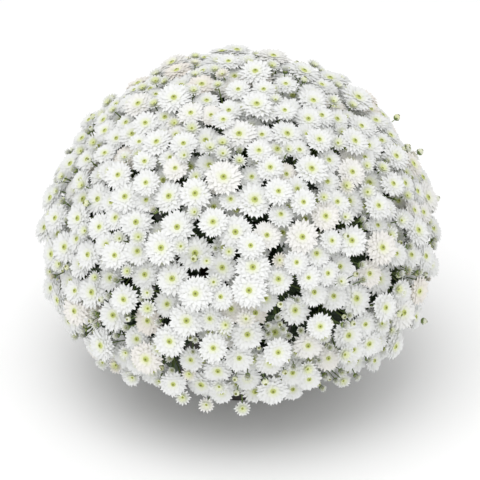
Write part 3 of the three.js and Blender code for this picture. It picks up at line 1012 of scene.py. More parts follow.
@dataclass
class Florist:
    """Models each stage's heads once, in a few variants. Lengths are shares of a head's radius.

    Attributes:
        sway: how much petals differ.
        bud_form: how a bud is made.
        bud_ridges: how many folded petals show on each variant of a bud.
        blush_full: how much of its reach the yellow-green of the heart stays full for.
        blush_fade: how much of its reach it takes to fade.
        outer_blush: how strong it is on the outer row. The inner rows have more.
        disc_level: how high the disc sits.
        floret_ring: how far out florets stand on the disc, as a share of it.
        floret_dome: how high they stand in its middle, as a share of it.
        floret_sink: how deep they stand in it.
        floret_lean: how far the outermost lean out, in radians.
        cup_level: how high the green cup sits.
    """

    sway: Sway = Sway()
    bud_form: BudForm = BudForm()
    bud_ridges: tuple[int, ...] = (5, 6)
    blush_full: float = 0.6
    blush_fade: float = 0.55
    outer_blush: float = 0.75
    disc_level: float = 0.04
    floret_radius: float = 0.045
    floret_height: float = 0.09
    floret_ring: float = 0.9
    floret_dome: float = 0.5
    floret_sink: float = 0.02
    floret_lean: float = 0.35
    cup_level: float = 0.03
    seed: int = 7

    def __post_init__(self) -> None:
        """Models the shared shapes and all variants."""
        self.random = np.random.default_rng(self.seed)
        self.petals: dict[Petal, Shape] = {}
        # The calyx is the lower part of a ball, and the disc the upper part of one.
        self.calyx = cut_ball(segments=6, rings=5, level=0.05, side=1, squash=0.8)
        self.disc = cut_ball(segments=8, rings=6, level=-0.1, side=-1, squash=0.55)
        self.floret = self.model_floret()
        self.parts = {}
        for stage, form in FORMS.items():
            self.parts[stage] = [self.head(form) for _ in range(form.variants)]
        self.parts[Stage.BUD] = [self.bud(ridges) for ridges in self.bud_ridges]

    def model_floret(self) -> Shape:
        """One tubular floret of the disc, still closed to a point."""
        bpy.ops.mesh.primitive_cone_add(vertices=4, radius1=1, radius2=0, depth=1, location=(0, 0, 0.5))
        return Shape.taken(bpy.context.active_object)

    def petal(self, form: Petal) -> Shape:
        """The petal's shape, modelled the first time that it is asked for."""
        if form not in self.petals:
            self.petals[form] = form.model()
        return self.petals[form]

    def strap(self, form: HeadForm, row: int, angle: float) -> Shape:
        """One petal of a head.

        Args:
            form: how the head is made.
            row: the petal's row, from the outer one on.
            angle: where it stands.

        Returns:
            Its shape, with the heart's colour marked on its foot.
        """
        whorl = form.whorls[row]
        rise = math.radians(whorl.rise + self.random.normal(0, self.sway.rise))
        length = whorl.length * self.random.uniform(*self.sway.length)
        width = whorl.width * self.random.uniform(*self.sway.width)
        roll = rolled(self.random.normal(0, self.sway.roll))
        turn = spun(angle) @ raised(rise) @ roll @ np.diag((length, width, length))
        strap = self.petal(whorl.petal).moved(turn, UP * whorl.lift)
        out = strap.marks[:, Mark.ALONG] * whorl.length - self.blush_full * form.blush
        blush = np.clip(1 - out / (self.blush_fade * form.blush), 0, 1)
        strap.marks[:, Mark.TINT] = blush * between(self.outer_blush, 1.0, row / len(form.whorls))
        return strap

    def heart(self, form: HeadForm) -> Shape:
        """The disc of a head and its florets, marked by how far out they are.

        Args:
            form: how the head is made.

        Returns:
            The heart's shape.
        """
        disc = form.disc
        made = [self.disc.moved(np.eye(3) * disc, UP * self.disc_level)]
        size = np.diag((self.floret_radius, self.floret_radius, self.floret_height))
        for number in range(form.florets):
            share = self.floret_ring * math.sqrt((number + 0.5) / form.florets)
            angle = number * GOLDEN_ANGLE
            rise = self.floret_dome * disc * math.sqrt(1 - share**2) - self.floret_sink
            place = disc * share * np.array((math.cos(angle), math.sin(angle), 0.0))
            place += UP * (self.disc_level + rise)
            made.append(self.floret.moved(spun(angle) @ raised(-self.floret_lean * share) @ size, place))
        heart = Shape.joined(made)
        heart.marks[:, Mark.TINT] = np.clip(np.hypot(heart.corners[:, 0], heart.corners[:, 1]) / disc, 0, 1)
        return heart

    def head(self, form: HeadForm) -> HeadParts:
        """Builds one variant of a head.

        Args:
            form: how it is made.

        Returns:
            Its shapes, by finish.
        """
        straps = []
        first = self.random.uniform(0, 2 * math.pi)
        for row, whorl in enumerate(form.whorls):
            phase = first + row * math.pi / whorl.count
            for number in range(whorl.count):
                place = number + self.random.uniform(-self.sway.turn, self.sway.turn)
                straps.append(self.strap(form, row, phase + 2 * math.pi * place / whorl.count))
        cup = self.calyx.moved(np.eye(3) * form.calyx, UP * self.cup_level)
        return HeadParts(Shape.joined(straps), self.heart(form), cup)

    def bud(self, ridges: int) -> HeadParts:
        """A closed bud in its green cup.

        Args:
            ridges: how many folded petals show.

        Returns:
            Its shapes, by finish.
        """
        form = self.bud_form
        bpy.ops.mesh.primitive_uv_sphere_add(segments=2 * ridges, ring_count=6, radius=1)
        ball = Shape.taken(bpy.context.active_object)
        angle = np.arctan2(ball.corners[:, 1], ball.corners[:, 0])
        is_groove = np.cos(ridges * angle) < 0
        ridge = 1 - form.groove * is_groove
        ball.corners *= np.stack((ridge, ridge, np.full_like(ridge, form.height)), axis=1)
        ball.corners[:, 2] += form.middle
        ball.marks[:, Mark.TINT] = np.where(is_groove, form.groove_tint, form.ridge_tint)
        (tip_width, tip_height), (cup_width, cup_height) = form.tip_size, form.cup_size
        tip = self.disc.moved(np.diag((tip_width, tip_width, tip_height)), UP * form.tip_place)
        tip.marks[:, Mark.TINT] = form.tip_tint
        cup = self.calyx.moved(np.diag((cup_width, cup_width, cup_height)), UP * form.cup_place)
        return HeadParts(ball, tip, cup)


def linear(colour: str) -> tuple[float, float, float, float]:
    """Turns an sRGB hex colour to the linear one that a shader takes.

    Args:
        colour: such as "#F4F3EE".

    Returns:
        Red, green, blue and an alpha of 1.
    """
    parts = [int(colour[i : i + 2], 16) / 255 for i in (1, 3, 5)]
    shades = [part / 12.92 if part <= 0.04045 else ((part + 0.055) / 1.055) ** 2.4 for part in parts]
    return (shades[0], shades[1], shades[2], 1.0)


def feed(node: bpy.types.Node, inputs: dict[str | int, object]) -> None:
    """Links a socket to each input of a node, or sets a value on it."""
    for name, value in inputs.items():
        if isinstance(value, bpy.types.NodeSocket):
            node.id_data.links.new(value, node.inputs[name])
        else:
            node.inputs[name].default_value = value


def add_node(
    material: bpy.types.Material,
    kind: str,
    settings: dict[str, object] | None = None,
    inputs: dict[str | int, object] | None = None,
    stops: Sequence[tuple[float, str]] = (),
) -> bpy.types.Node:
    """Adds a shader node.

    Args:
        material: where it goes.
        kind: the node's type name.
        settings: its properties by name.
        inputs: for each input, a socket to link to it or a value to set on it.
        stops: position and sRGB hex colour of each stop, where it is a ramp.

    Returns:
        The node.
    """
    node = material.node_tree.nodes.new(kind)
    for name, value in (settings or {}).items():
        setattr(node, name, value)
    feed(node, inputs or {})
    for number, (position, colour) in enumerate(stops):
        elements = node.color_ramp.elements
        element = elements[number] if number < len(elements) else elements.new(1.0)
        element.position = position
        element.color = linear(colour)
    return node


def new_material(name: str) -> tuple[bpy.types.Material, bpy.types.Node]:
    """A material with an empty Principled shader.

    Args:
        name: the finish's name.

    Returns:
        The material and its shader node.
    """
    material = bpy.data.materials.new(name)
    material.use_nodes = True
    return material, material.node_tree.nodes["Principled BSDF"]


@dataclass(frozen=True)
class PetalFinish:
    """White ray florets: soft and matt, with a yellow-green foot. A few heads are creamier than most."""

    white: str = "#DEDFDE"
    cream: str = "#E1DCD5"
    foot: str = "#C8CF80"
    cream_from: float = 0.88

    def make(self) -> bpy.types.Material:
        """Builds the material."""
        material, shader = new_material("petal_white")
        tone = add_node(material, "ShaderNodeAttribute", {"attribute_name": Mark.TONE.label})
        tint = add_node(material, "ShaderNodeAttribute", {"attribute_name": Mark.TINT.label})
        stops = ((0.0, self.white), (self.cream_from, self.white), (1.0, self.cream))
        ramp = add_node(material, "ShaderNodeValToRGB", inputs={"Fac": tone.outputs["Fac"]}, stops=stops)
        amount, petal = tint.outputs["Fac"], ramp.outputs["Color"]
        blend = {"Factor": amount, MIX_FIRST: petal, MIX_SECOND: linear(self.foot)}
        mix = add_node(material, "ShaderNodeMix", {"data_type": "RGBA"}, blend)
        feed(shader, {"Base Color": mix.outputs[MIX_RESULT], "Roughness": 0.6, "Specular IOR Level": 0.3})
        return material


@dataclass(frozen=True)
class HeartFinish:
    """Yellow-green disc florets, darker and greener in the middle where they are still closed."""

    closed: str = "#55541F"
    middle: str = "#9DA650"
    rim: str = "#C9D08A"

    def make(self) -> bpy.types.Material:
        """Builds the material."""
        material, shader = new_material("disc_floret")
        tint = add_node(material, "ShaderNodeAttribute", {"attribute_name": Mark.TINT.label})
        stops = ((0.10, self.closed), (0.42, self.middle), (1.0, self.rim))
        ramp = add_node(material, "ShaderNodeValToRGB", inputs={"Fac": tint.outputs["Fac"]}, stops=stops)
        feed(shader, {"Base Color": ramp.outputs["Color"], "Roughness": 0.7})
        return material


@dataclass(frozen=True)
class GreenFinish:
    """Pale green pedicels and calyx cups, with a fine down that dulls them.

    Attributes:
        mottle: the size of the lighter and darker stretches.
    """

    young: str = "#7F9150"
    old: str = "#55683A"
    mottle: float = 0.00833

    def make(self) -> bpy.types.Material:
        """Builds the material."""
        material, shader = new_material("pedicel_green")
        where = add_node(material, "ShaderNodeTexCoord").outputs["Object"]
        sizes = {"Vector": where, "Scale": 1 / self.mottle, "Detail": 2.0}
        noise = add_node(material, "ShaderNodeTexNoise", inputs=sizes).outputs["Fac"]
        stops = ((0.3, self.old), (0.7, self.young))
        ramp = add_node(material, "ShaderNodeValToRGB", inputs={"Fac": noise}, stops=stops)
        feed(shader, {"Base Color": ramp.outputs["Color"], "Roughness": 0.65})
        return material


@dataclass(frozen=True)
class LeafFinish:
    """Dark green leaf blades with paler veins, slightly waxy on top, and mottled between the veins.

    Attributes:
        mottle: the size of the lighter and darker patches.
        slant: how far up a side vein climbs on its way out.
        vein_gap: half the way from one side vein to the next, as a share of the leaf's length.
        vein_width: half a side vein's width, as the same share.
        midrib_width: half the midrib's width as a share of the leaf's half width.
        vein_strength: how far the veins take their own colour.
    """

    dark: str = "#1B2817"
    green: str = "#314528"
    vein: str = "#5F7449"
    mottle: float = 0.01667
    slant: float = 0.35
    vein_gap: float = 0.07
    vein_width: float = 0.007
    midrib_width: float = 0.05
    vein_strength: float = 0.55

    def make(self) -> bpy.types.Material:
        """Builds the material."""
        material, shader = new_material("leaf_green")
        where = add_node(material, "ShaderNodeTexCoord").outputs["Object"]
        sizes = {"Vector": where, "Scale": 1 / self.mottle, "Detail": 3.0}
        noise = add_node(material, "ShaderNodeTexNoise", inputs=sizes).outputs["Fac"]
        stops = ((0.3, self.dark), (0.75, self.green))
        flesh = add_node(material, "ShaderNodeValToRGB", inputs={"Fac": noise}, stops=stops)
        found = {}
        for mark in (Mark.ACROSS, Mark.ALONG):
            reader = add_node(material, "ShaderNodeAttribute", {"attribute_name": mark.label})
            found[mark.label] = reader.outputs["Fac"]
        steps = (
            ("aside", "ABSOLUTE", ("across",)),
            ("slanted", "MULTIPLY_ADD", ("aside", -self.slant, "along")),
            ("wave", "PINGPONG", ("slanted", self.vein_gap)),
            ("side_vein", "LESS_THAN", ("wave", self.vein_width)),
            ("midrib", "LESS_THAN", ("aside", self.midrib_width)),
            ("veins", "MAXIMUM", ("side_vein", "midrib")),
            ("strength", "MULTIPLY", ("veins", self.vein_strength)),
        )
        for name, operation, terms in steps:
            inputs = {place: found.get(term, term) for place, term in enumerate(terms)}
            found[name] = add_node(material, "ShaderNodeMath", {"operation": operation}, inputs).outputs[0]
        amount, blade = found["strength"], flesh.outputs["Color"]
        blend = {"Factor": amount, MIX_FIRST: blade, MIX_SECOND: linear(self.vein)}
        mix = add_node(material, "ShaderNodeMix", {"data_type": "RGBA"}, blend)
        relief = {"Height": noise, "Strength": 0.4, "Distance": 0.0006}
        bump = add_node(material, "ShaderNodeBump", inputs=relief)
        normal = bump.outputs["Normal"]
        feed(shader, {"Base Color": mix.outputs[MIX_RESULT], "Roughness": 0.48, "Normal": normal})
        return material


@dataclass(frozen=True)
class StemFinish:
    """Stems: grey-brown and corky low down where they are woody, green higher up.

    Attributes:
        woody_height: the height that they are woody up to.
        green_height: the height that they are green from.
        grain: the width of the bark's ridges.
        grain_pull: how much the ridges are stretched, as the share that is left of their pattern's height.
    """

    wood: str = "#6B5A45"
    furrow: str = "#4A3D2E"
    green: str = "#5D6E3D"
    woody_height: float = 0.17
    green_height: float = 0.24
    grain: float = 0.00143
    grain_pull: float = 0.2

    def make(self) -> bpy.types.Material:
        """Builds the material."""
        material, shader = new_material("stem_bark")
        where = add_node(material, "ShaderNodeTexCoord").outputs["Object"]
        height = add_node(material, "ShaderNodeSeparateXYZ", inputs={"Vector": where}).outputs["Z"]
        ends = {"Value": height, "From Min": self.woody_height, "From Max": self.green_height}
        share = add_node(material, "ShaderNodeMapRange", inputs=ends).outputs["Result"]
        stretch = {"Vector": where, "Scale": (1.0, 1.0, self.grain_pull)}
        stretched = add_node(material, "ShaderNodeMapping", inputs=stretch).outputs["Vector"]
        sizes = {"Vector": stretched, "Scale": 1 / self.grain, "Detail": 3.0}
        grain = add_node(material, "ShaderNodeTexNoise", inputs=sizes).outputs["Fac"]
        stops = ((0.3, self.furrow), (0.7, self.wood))
        bark = add_node(material, "ShaderNodeValToRGB", inputs={"Fac": grain}, stops=stops)
        blend = {"Factor": share, MIX_FIRST: bark.outputs["Color"], MIX_SECOND: linear(self.green)}
        mix = add_node(material, "ShaderNodeMix", {"data_type": "RGBA"}, blend)
        relief = {"Height": grain, "Strength": 0.5, "Distance": 0.0008}
        bump = add_node(material, "ShaderNodeBump", inputs=relief)
        normal = bump.outputs["Normal"]
        feed(shader, {"Base Color": mix.outputs[MIX_RESULT], "Roughness": 0.8, "Normal": normal})
        return material


@dataclass(frozen=True)
class SoilFinish:
    """Potting mix: damp and quite matt, with peat and bark crumbs of about 3 mm.

    Attributes:
        crumb: the size of a crumb.
        clod: the size of the damper and drier patches.
    """

    wet: str = "#1E1611"
    dry: str = "#4A382A"
    crumb: float = 0.003125
    clod: float = 0.0111

    def make(self) -> bpy.types.Material:
        """Builds the material."""
        material, shader = new_material("potting_mix")
        where = add_node(material, "ShaderNodeTexCoord").outputs["Object"]
        crumbs = add_node(material, "ShaderNodeTexVoronoi", inputs={"Vector": where, "Scale": 1 / self.crumb})
        sizes = {"Vector": where, "Scale": 1 / self.clod, "Detail": 5.0}
        clods = add_node(material, "ShaderNodeTexNoise", inputs=sizes)
        terms = {0: crumbs.outputs["Distance"], 1: clods.outputs["Fac"]}
        blend = add_node(material, "ShaderNodeMath", {"operation": "ADD"}, terms).outputs[0]
        stops = ((0.45, self.wet), (1.0, self.dry))
        ramp = add_node(material, "ShaderNodeValToRGB", inputs={"Fac": blend}, stops=stops)
        relief = {"Height": blend, "Strength": 0.8, "Distance": 0.002}
        bump = add_node(material, "ShaderNodeBump", inputs=relief)
        normal = bump.outputs["Normal"]
        feed(shader, {"Base Color": ramp.outputs["Color"], "Roughness": 0.95, "Normal": normal})
        return material


@dataclass(frozen=True)
class PotFinish:
    """Injection-moulded polypropylene, dark grey-brown: satin, with a faint mould grain.

    Attributes:
        cloud: the size of the slightly paler and darker patches.
        grain: the size of the mould's grain.
    """

    pale: str = "#3B3733"
    shade: str = "#322E2B"
    cloud: float = 0.0833
    grain: float = 0.000667

    def make(self) -> bpy.types.Material:
        """Builds the material."""
        material, shader = new_material("pot_plastic")
        where = add_node(material, "ShaderNodeTexCoord").outputs["Object"]
        sizes = {"Vector": where, "Scale": 1 / self.cloud, "Detail": 3.0}
        clouds = add_node(material, "ShaderNodeTexNoise", inputs=sizes).outputs["Fac"]
        stops = ((0.35, self.shade), (0.65, self.pale))
        ramp = add_node(material, "ShaderNodeValToRGB", inputs={"Fac": clouds}, stops=stops)
        sizes = {"Vector": where, "Scale": 1 / self.grain, "Detail": 1.0}
        grain = add_node(material, "ShaderNodeTexNoise", inputs=sizes).outputs["Fac"]
        relief = {"Height": grain, "Strength": 0.15, "Distance": 0.0003}
        bump = add_node(material, "ShaderNodeBump", inputs=relief)
        normal = bump.outputs["Normal"]
        feed(shader, {"Base Color": ramp.outputs["Color"], "Roughness": 0.45, "Normal": normal})
        return material


@dataclass
class Tubes:
    """Round stalks drawn as curves of changing thickness, then turned into one shape.

    Attributes:
        roundness: how many pairs of sides a stalk has past four.
        paths: the points and radii of each stalk.
    """

    roundness: int = 0
    paths: list[tuple[Array, Array]] = field(default_factory=list)

    def add(self, points: Sequence[Array], radii: Sequence[float]) -> None:
        """Adds a stalk.

        Args:
            points: its path.
            radii: its radius at each point.
        """
        self.paths.append((np.asarray(points), np.asarray(radii)))

    def shape(self) -> Shape:
        """Sweeps a round section along all paths.

        Returns:
            The closed tubes as one shape.
        """
        curve = bpy.data.curves.new("stalks", "CURVE")
        curve.dimensions = "3D"
        curve.bevel_depth = 1.0
        curve.bevel_resolution = self.roundness
        curve.use_fill_caps = True
        for points, radii in self.paths:
            spline = curve.splines.new("POLY")
            spline.points.add(len(points) - 1)
            spline.points.foreach_set("co", np.column_stack((points, np.ones(len(points)))).ravel())
            spline.points.foreach_set("radius", radii)
        obj = bpy.data.objects.new("stalks", curve)
        bpy.context.scene.collection.objects.link(obj)
        select_only(obj)
        bpy.ops.object.convert(target="MESH")
        made = bpy.context.active_object
        with editing():
            bpy.ops.mesh.remove_doubles(threshold=1e-6)
            bpy.ops.mesh.normals_make_consistent(inside=False)
        return Shape.taken(made)


def curved(start: Array, bend: Array, end: Array, steps: int) -> list[Array]:
    """Points on a quadratic curve.

    Args:
        start: where it starts.
        bend: the point that it bends towards.
        end: where it ends.
        steps: how many steps it takes.

    Returns:
        The points, both ends included.
    """
    shares = [i / steps for i in range(steps + 1)]
    return [(1 - t) ** 2 * start + 2 * t * (1 - t) * bend + t * t * end for t in shares]


@dataclass
class Spray:
    """One spray of the dome: peduncle, pedicels and all the heads that they carry.

    Attributes:
        number: the spray's number.
        bed: the plant's layout.
        florist: the modelled heads.
        peduncle_length: how far below the hub it starts.
        hub_swell: how much thicker it is at the hub.
        hub_tip: how far past the hub its tip is, and hub_tip_radius how thick that is.
        pedicel_taper: how thick a pedicel is at its foot and at its head, as shares of its radius.
        slight_radius: the radius of the largest head that stands on a slighter pedicel.
        slight_share: how thick that pedicel is, as a share.
        socket: how deep under a head's middle its pedicel ends, as a share of the head's radius.
        bow: how far back along the head's axis a pedicel bows, as a share of its length.
        blush_strength: the least and greatest strength of the yellow-green at the petals' foot.
    """

    number: int
    bed: Bed
    florist: Florist
    peduncle_length: float = 0.013
    peduncle_radius: float = 0.0019
    hub_swell: float = 1.2
    hub_tip: float = 0.002
    hub_tip_radius: float = 0.0008
    pedicel_radius: float = 0.00085
    pedicel_taper: tuple[float, float] = (1.25, 1.0)
    pedicel_steps: int = 3
    slight_radius: float = 0.008
    slight_share: float = 0.75
    socket: float = 0.1
    bow: float = 0.45
    blush_strength: tuple[float, float] = (0.45, 1.0)

    def add_pedicel(self, tubes: Tubes, head: Head) -> None:
        """Draws the stalk of one head, from the hub.

        Args:
            tubes: the spray's stalks.
            head: the head.
        """
        hub = self.bed.hubs[self.number]
        end = head.point - head.axis * head.radius * self.socket
        bend = end - head.axis * self.bow * float(np.linalg.norm(end - hub))
        radius = self.pedicel_radius * (1.0 if head.radius > self.slight_radius else self.slight_share)
        path = curved(hub, bend, end, self.pedicel_steps)
        tubes.add(path, np.linspace(*self.pedicel_taper, len(path)) * radius)

    def parts(self) -> tuple[Shape, Shape, Shape]:
        """Places the heads and draws their stalks.

        Returns:
            The petals, the hearts and the green parts.
        """
        petals, hearts, greens = [], [], []
        hub = self.bed.hubs[self.number]
        growth = unit(hub - self.bed.roots[self.number])
        tubes = Tubes()
        path = [hub - growth * self.peduncle_length, hub, hub + growth * self.hub_tip]
        tubes.add(path, [self.peduncle_radius, self.peduncle_radius * self.hub_swell, self.hub_tip_radius])
        for head in (head for head in self.bed.heads if head.spray == self.number):
            variants = self.florist.parts[head.stage]
            parts = variants[int(len(variants) * chance(head.number, Trait.VARIANT))]
            turn = turn_to(head.axis) @ spun(2 * math.pi * chance(head.number, Trait.SPIN)) * head.radius
            tone = chance(head.number, Trait.TONE)
            shown = parts.petals.moved(turn, head.point, tone)
            shown.marks[:, Mark.TINT] *= between(*self.blush_strength, chance(head.number, Trait.BLUSH))
            petals.append(shown)
            hearts.append(parts.heart.moved(turn, head.point, tone))
            greens.append(parts.green.moved(turn, head.point, tone))
            self.add_pedicel(tubes, head)
        greens.append(tubes.shape())
        return Shape.joined(petals), Shape.joined(hearts), Shape.joined(greens)


@dataclass
class LeafCutter:
    """Models the lobed leaf once in a few variants, along +X with its face up, at a length of 1.

    Attributes:
        columns: how many faces it has along its length.
        rows: how many across.
        widest: its half width as a share of its length.
        stalk: how much of its length is stalk.
        stalk_middle: where the stalk has one more row of corners.
        lobes: how far out along the blade each point of its edge is, and how wide it is there.
        lobe_sweep: how far forward its edge reaches at the blade's foot.
        waves: how many radians its edge waves through along the leaf, and wave_lag how many across it.
    """

    columns: int = 10
    rows: int = 3
    widest: float = 0.33
    stalk: float = 0.2
    stalk_middle: float = 0.12
    stalk_width: float = 0.022
    lobes: tuple[tuple[float, float], ...] = (
        (0.0, 0.10),
        (0.10, 0.46),
        (0.24, 0.80),
        (0.36, 0.52),
        (0.50, 1.0),
        (0.62, 0.60),
        (0.76, 0.80),
        (0.86, 0.42),
        (0.95, 0.30),
        (1.0, 0.04),
    )
    thickness: float = 0.010
    lobe_sweep: float = 0.10
    waves: float = 14.0
    wave_lag: float = 2.0

    def half_width(self, share: float) -> float:
        """The half width at a share of the length, with the lobes of the edge."""
        if share < self.stalk:
            return self.stalk_width
        blade = (share - self.stalk) / (1 - self.stalk)
        return self.widest * float(np.interp(blade, *zip(*self.lobes)))

    def model(self, droop: float, fold: float, wave: float) -> Shape:
        """Shapes one leaf from a grid and thickens it.

        Args:
            droop: how far its tip hangs down.
            fold: how far its sides rise from the midrib.
            wave: how much its edge waves.

        Returns:
            The leaf, with across and along marks.
        """
        bpy.ops.mesh.primitive_grid_add(x_subdivisions=self.columns, y_subdivisions=self.rows, size=1)
        obj = bpy.context.active_object
        blade_stations = [self.stalk + (1 - self.stalk) * lobe[0] for lobe in self.lobes[1:]]
        stations = [0.0, self.stalk_middle, self.stalk] + blade_stations
        for vertex in obj.data.vertices:
            column = round((vertex.co.x + 0.5) * self.columns)
            share = float(np.interp(column / self.columns, np.linspace(0, 1, len(stations)), stations))
            across = 2 * vertex.co.y
            out = self.half_width(share)
            blade = max(0.0, (share - self.stalk) / (1 - self.stalk))
            vertex.co.x = share + self.lobe_sweep * abs(across) * out / self.widest * (1 - blade)
            vertex.co.y = across * out
            vertex.co.z = fold * abs(vertex.co.y) - droop * share**2
            ripple = math.sin(self.waves * share + self.wave_lag * across)
            vertex.co.z += wave * blade * abs(across) * ripple
        marks = [(vertex.co.y / self.widest, vertex.co.x) for vertex in obj.data.vertices]
        apply_modifier(obj, "SOLIDIFY", thickness=self.thickness, offset=-1.0)
        shape = Shape.taken(obj)
        # The thickened leaf has the corners of its face once more, in the same order.
        shape.marks[:, Mark.ACROSS :] = np.array(marks + marks)
        return shape


@dataclass
class Stem:
    """One leafy stem: a woody trunk out of the soil, its branches and their leaves.

    Attributes:
        number: the stem's number.
        bed: the plant's layout.
        leaves: the modelled leaves.
        soil_height: how high the soil stands.
        hole_depth: how deep the trunk stands in it.
        spread: how far from the middle of the pot trunks stand.
        first_step: how far along the spread the first one stands, in steps from one trunk to the next.
        arch_height: how high a trunk arches at least.
        low_height: the height below which a trunk's end is lifted, by low_rise.
        bend_share: how far out its arch is, as a share of the way.
        fork_radius: the radius that a branch has inside its trunk.
        branch_radius: its radius where it leaves the trunk and at its end.
        branch_gap: how far before its hub a branch ends, inside the spray's peduncle.
        leaf_levels: where along a branch its leaves start.
        leaf_spread: how far round the branch their tips reach.
        tip_depths: how far below the dome's surface their tips are.
        low_stand_out: how much nearer to the surface the tips of the lowest leaves are.
        leaf_turn: how far a leaf turns round its branch by chance, in radians.
        leaf_roll: how far it rolls by chance, in radians.
    """

    number: int
    bed: Bed
    leaves: Sequence[Shape]
    soil_height: float = 0.132
    hole_depth: float = 0.025
    spread: float = 0.088
    first_step: float = 0.3
    trunk_radius: float = 0.0046
    trunk_end_radius: float = 0.0034
    trunk_steps: int = 10
    arch_height: float = 0.205
    low_height: float = 0.190
    low_rise: float = 0.012
    bend_share: float = 0.35
    fork_radius: float = 0.003
    branch_radius: tuple[float, float] = (0.0026, 0.0019)
    branch_gap: float = 0.0125
    leaves_each: int = 14
    leaf_length: tuple[float, float] = (0.050, 0.072)
    leaf_levels: tuple[float, float] = (0.15, 1.0)
    leaf_spread: tuple[float, float] = (0.030, 0.062)
    leaf_turn: float = 0.5
    leaf_roll: float = 0.5
    tip_depths: tuple[float, float] = (0.024, 0.046)
    low_stand_out: float = 0.03

    def foot(self) -> Array:
        """Where the trunk leaves the soil."""
        spread = self.spread * math.sqrt((self.number + self.first_step) / self.bed.stem_count)
        return around(np.array((0, 0, self.soil_height)), UP, self.number * GOLDEN_ANGLE, spread)

    def trunk(self) -> list[Array]:
        """The trunk's path: upright in its hole, then a curve out to where it divides."""
        foot = self.foot()
        end = clear_of_pot(self.bed.dome.below(self.bed.stem_directions[self.number], self.bed.core_depth))
        if end[2] < self.low_height:
            end = end + UP * self.low_rise
        bend = foot + (end - foot) * self.bend_share
        bend[2] = max(self.arch_height, (foot[2] + end[2]) / 2)
        return [foot - UP * self.hole_depth, *curved(foot, bend, end, self.trunk_steps)]

    def branch_leaves(self, spray: int, root: Array, hub: Array) -> list[Shape]:
        """The leaves round one branch, each spread out under its spray.

        Args:
            spray: the spray's number.
            root: where the branch starts.
            hub: where it ends.

        Returns:
            The leaves.
        """
        direction = self.bed.spray_directions[spray]
        turn = turn_to(direction)
        made = []
        for i in range(self.leaves_each):
            number = LEAF_STEP * spray + i
            level = between(*self.leaf_levels, (i + chance(number, Trait.LEVEL)) / self.leaves_each)
            start = root + (hub - root) * level
            angle = i * GOLDEN_ANGLE + self.leaf_turn * swing(number, Trait.TURN)
            spread = between(*self.leaf_spread, chance(number, Trait.REACH))
            aside = turn @ np.array((math.cos(angle), math.sin(angle), 0.0))
            towards = unit(direction + aside * spread / self.bed.dome.reach(direction))
            depth = between(*self.tip_depths, chance(number, Trait.DEPTH))
            depth -= self.low_stand_out * max(0.0, -float(direction[2]))
            tip = self.bed.dome.below(towards, depth)
            shortest, longest = self.leaf_length
            length = max(min(float(np.linalg.norm(tip - start)), longest), shortest)
            along = unit(tip - start)
            across = unit(np.cross(direction, along))
            over = np.cross(along, across)
            roll = self.leaf_roll * swing(number, Trait.ROLL)
            c, s = math.cos(roll), math.sin(roll)
            across, over = across * c + over * s, over * c - across * s
            leaf = self.leaves[number % len(self.leaves)]
            frame = np.column_stack((along, across, over)) * length
            made.append(leaf.moved(frame, start, chance(number, Trait.TONE)))
        return made

    def parts(self) -> tuple[Shape, Shape]:
        """Draws the trunk and branches and hangs the leaves on them.

        Returns:
            The wood and the leaves.
        """
        wood = Tubes(roundness=1)
        path = self.trunk()
        wood.add(path, np.linspace(self.trunk_radius, self.trunk_end_radius, len(path)))
        foliage = []
        for spray in range(self.bed.spray_count):
            if self.bed.spray_stems[spray] != self.number:
                continue
            root, hub = self.bed.roots[spray], self.bed.hubs[spray]
            end = hub - unit(hub - root) * self.branch_gap
            radii = [self.fork_radius, self.fork_radius, *np.linspace(*self.branch_radius, 3)]
            wood.add([path[-2], path[-1], root, (root + end) / 2, end], radii)
            foliage += self.branch_leaves(spray, root, hub)
        return wood.shape(), Shape.joined(foliage)


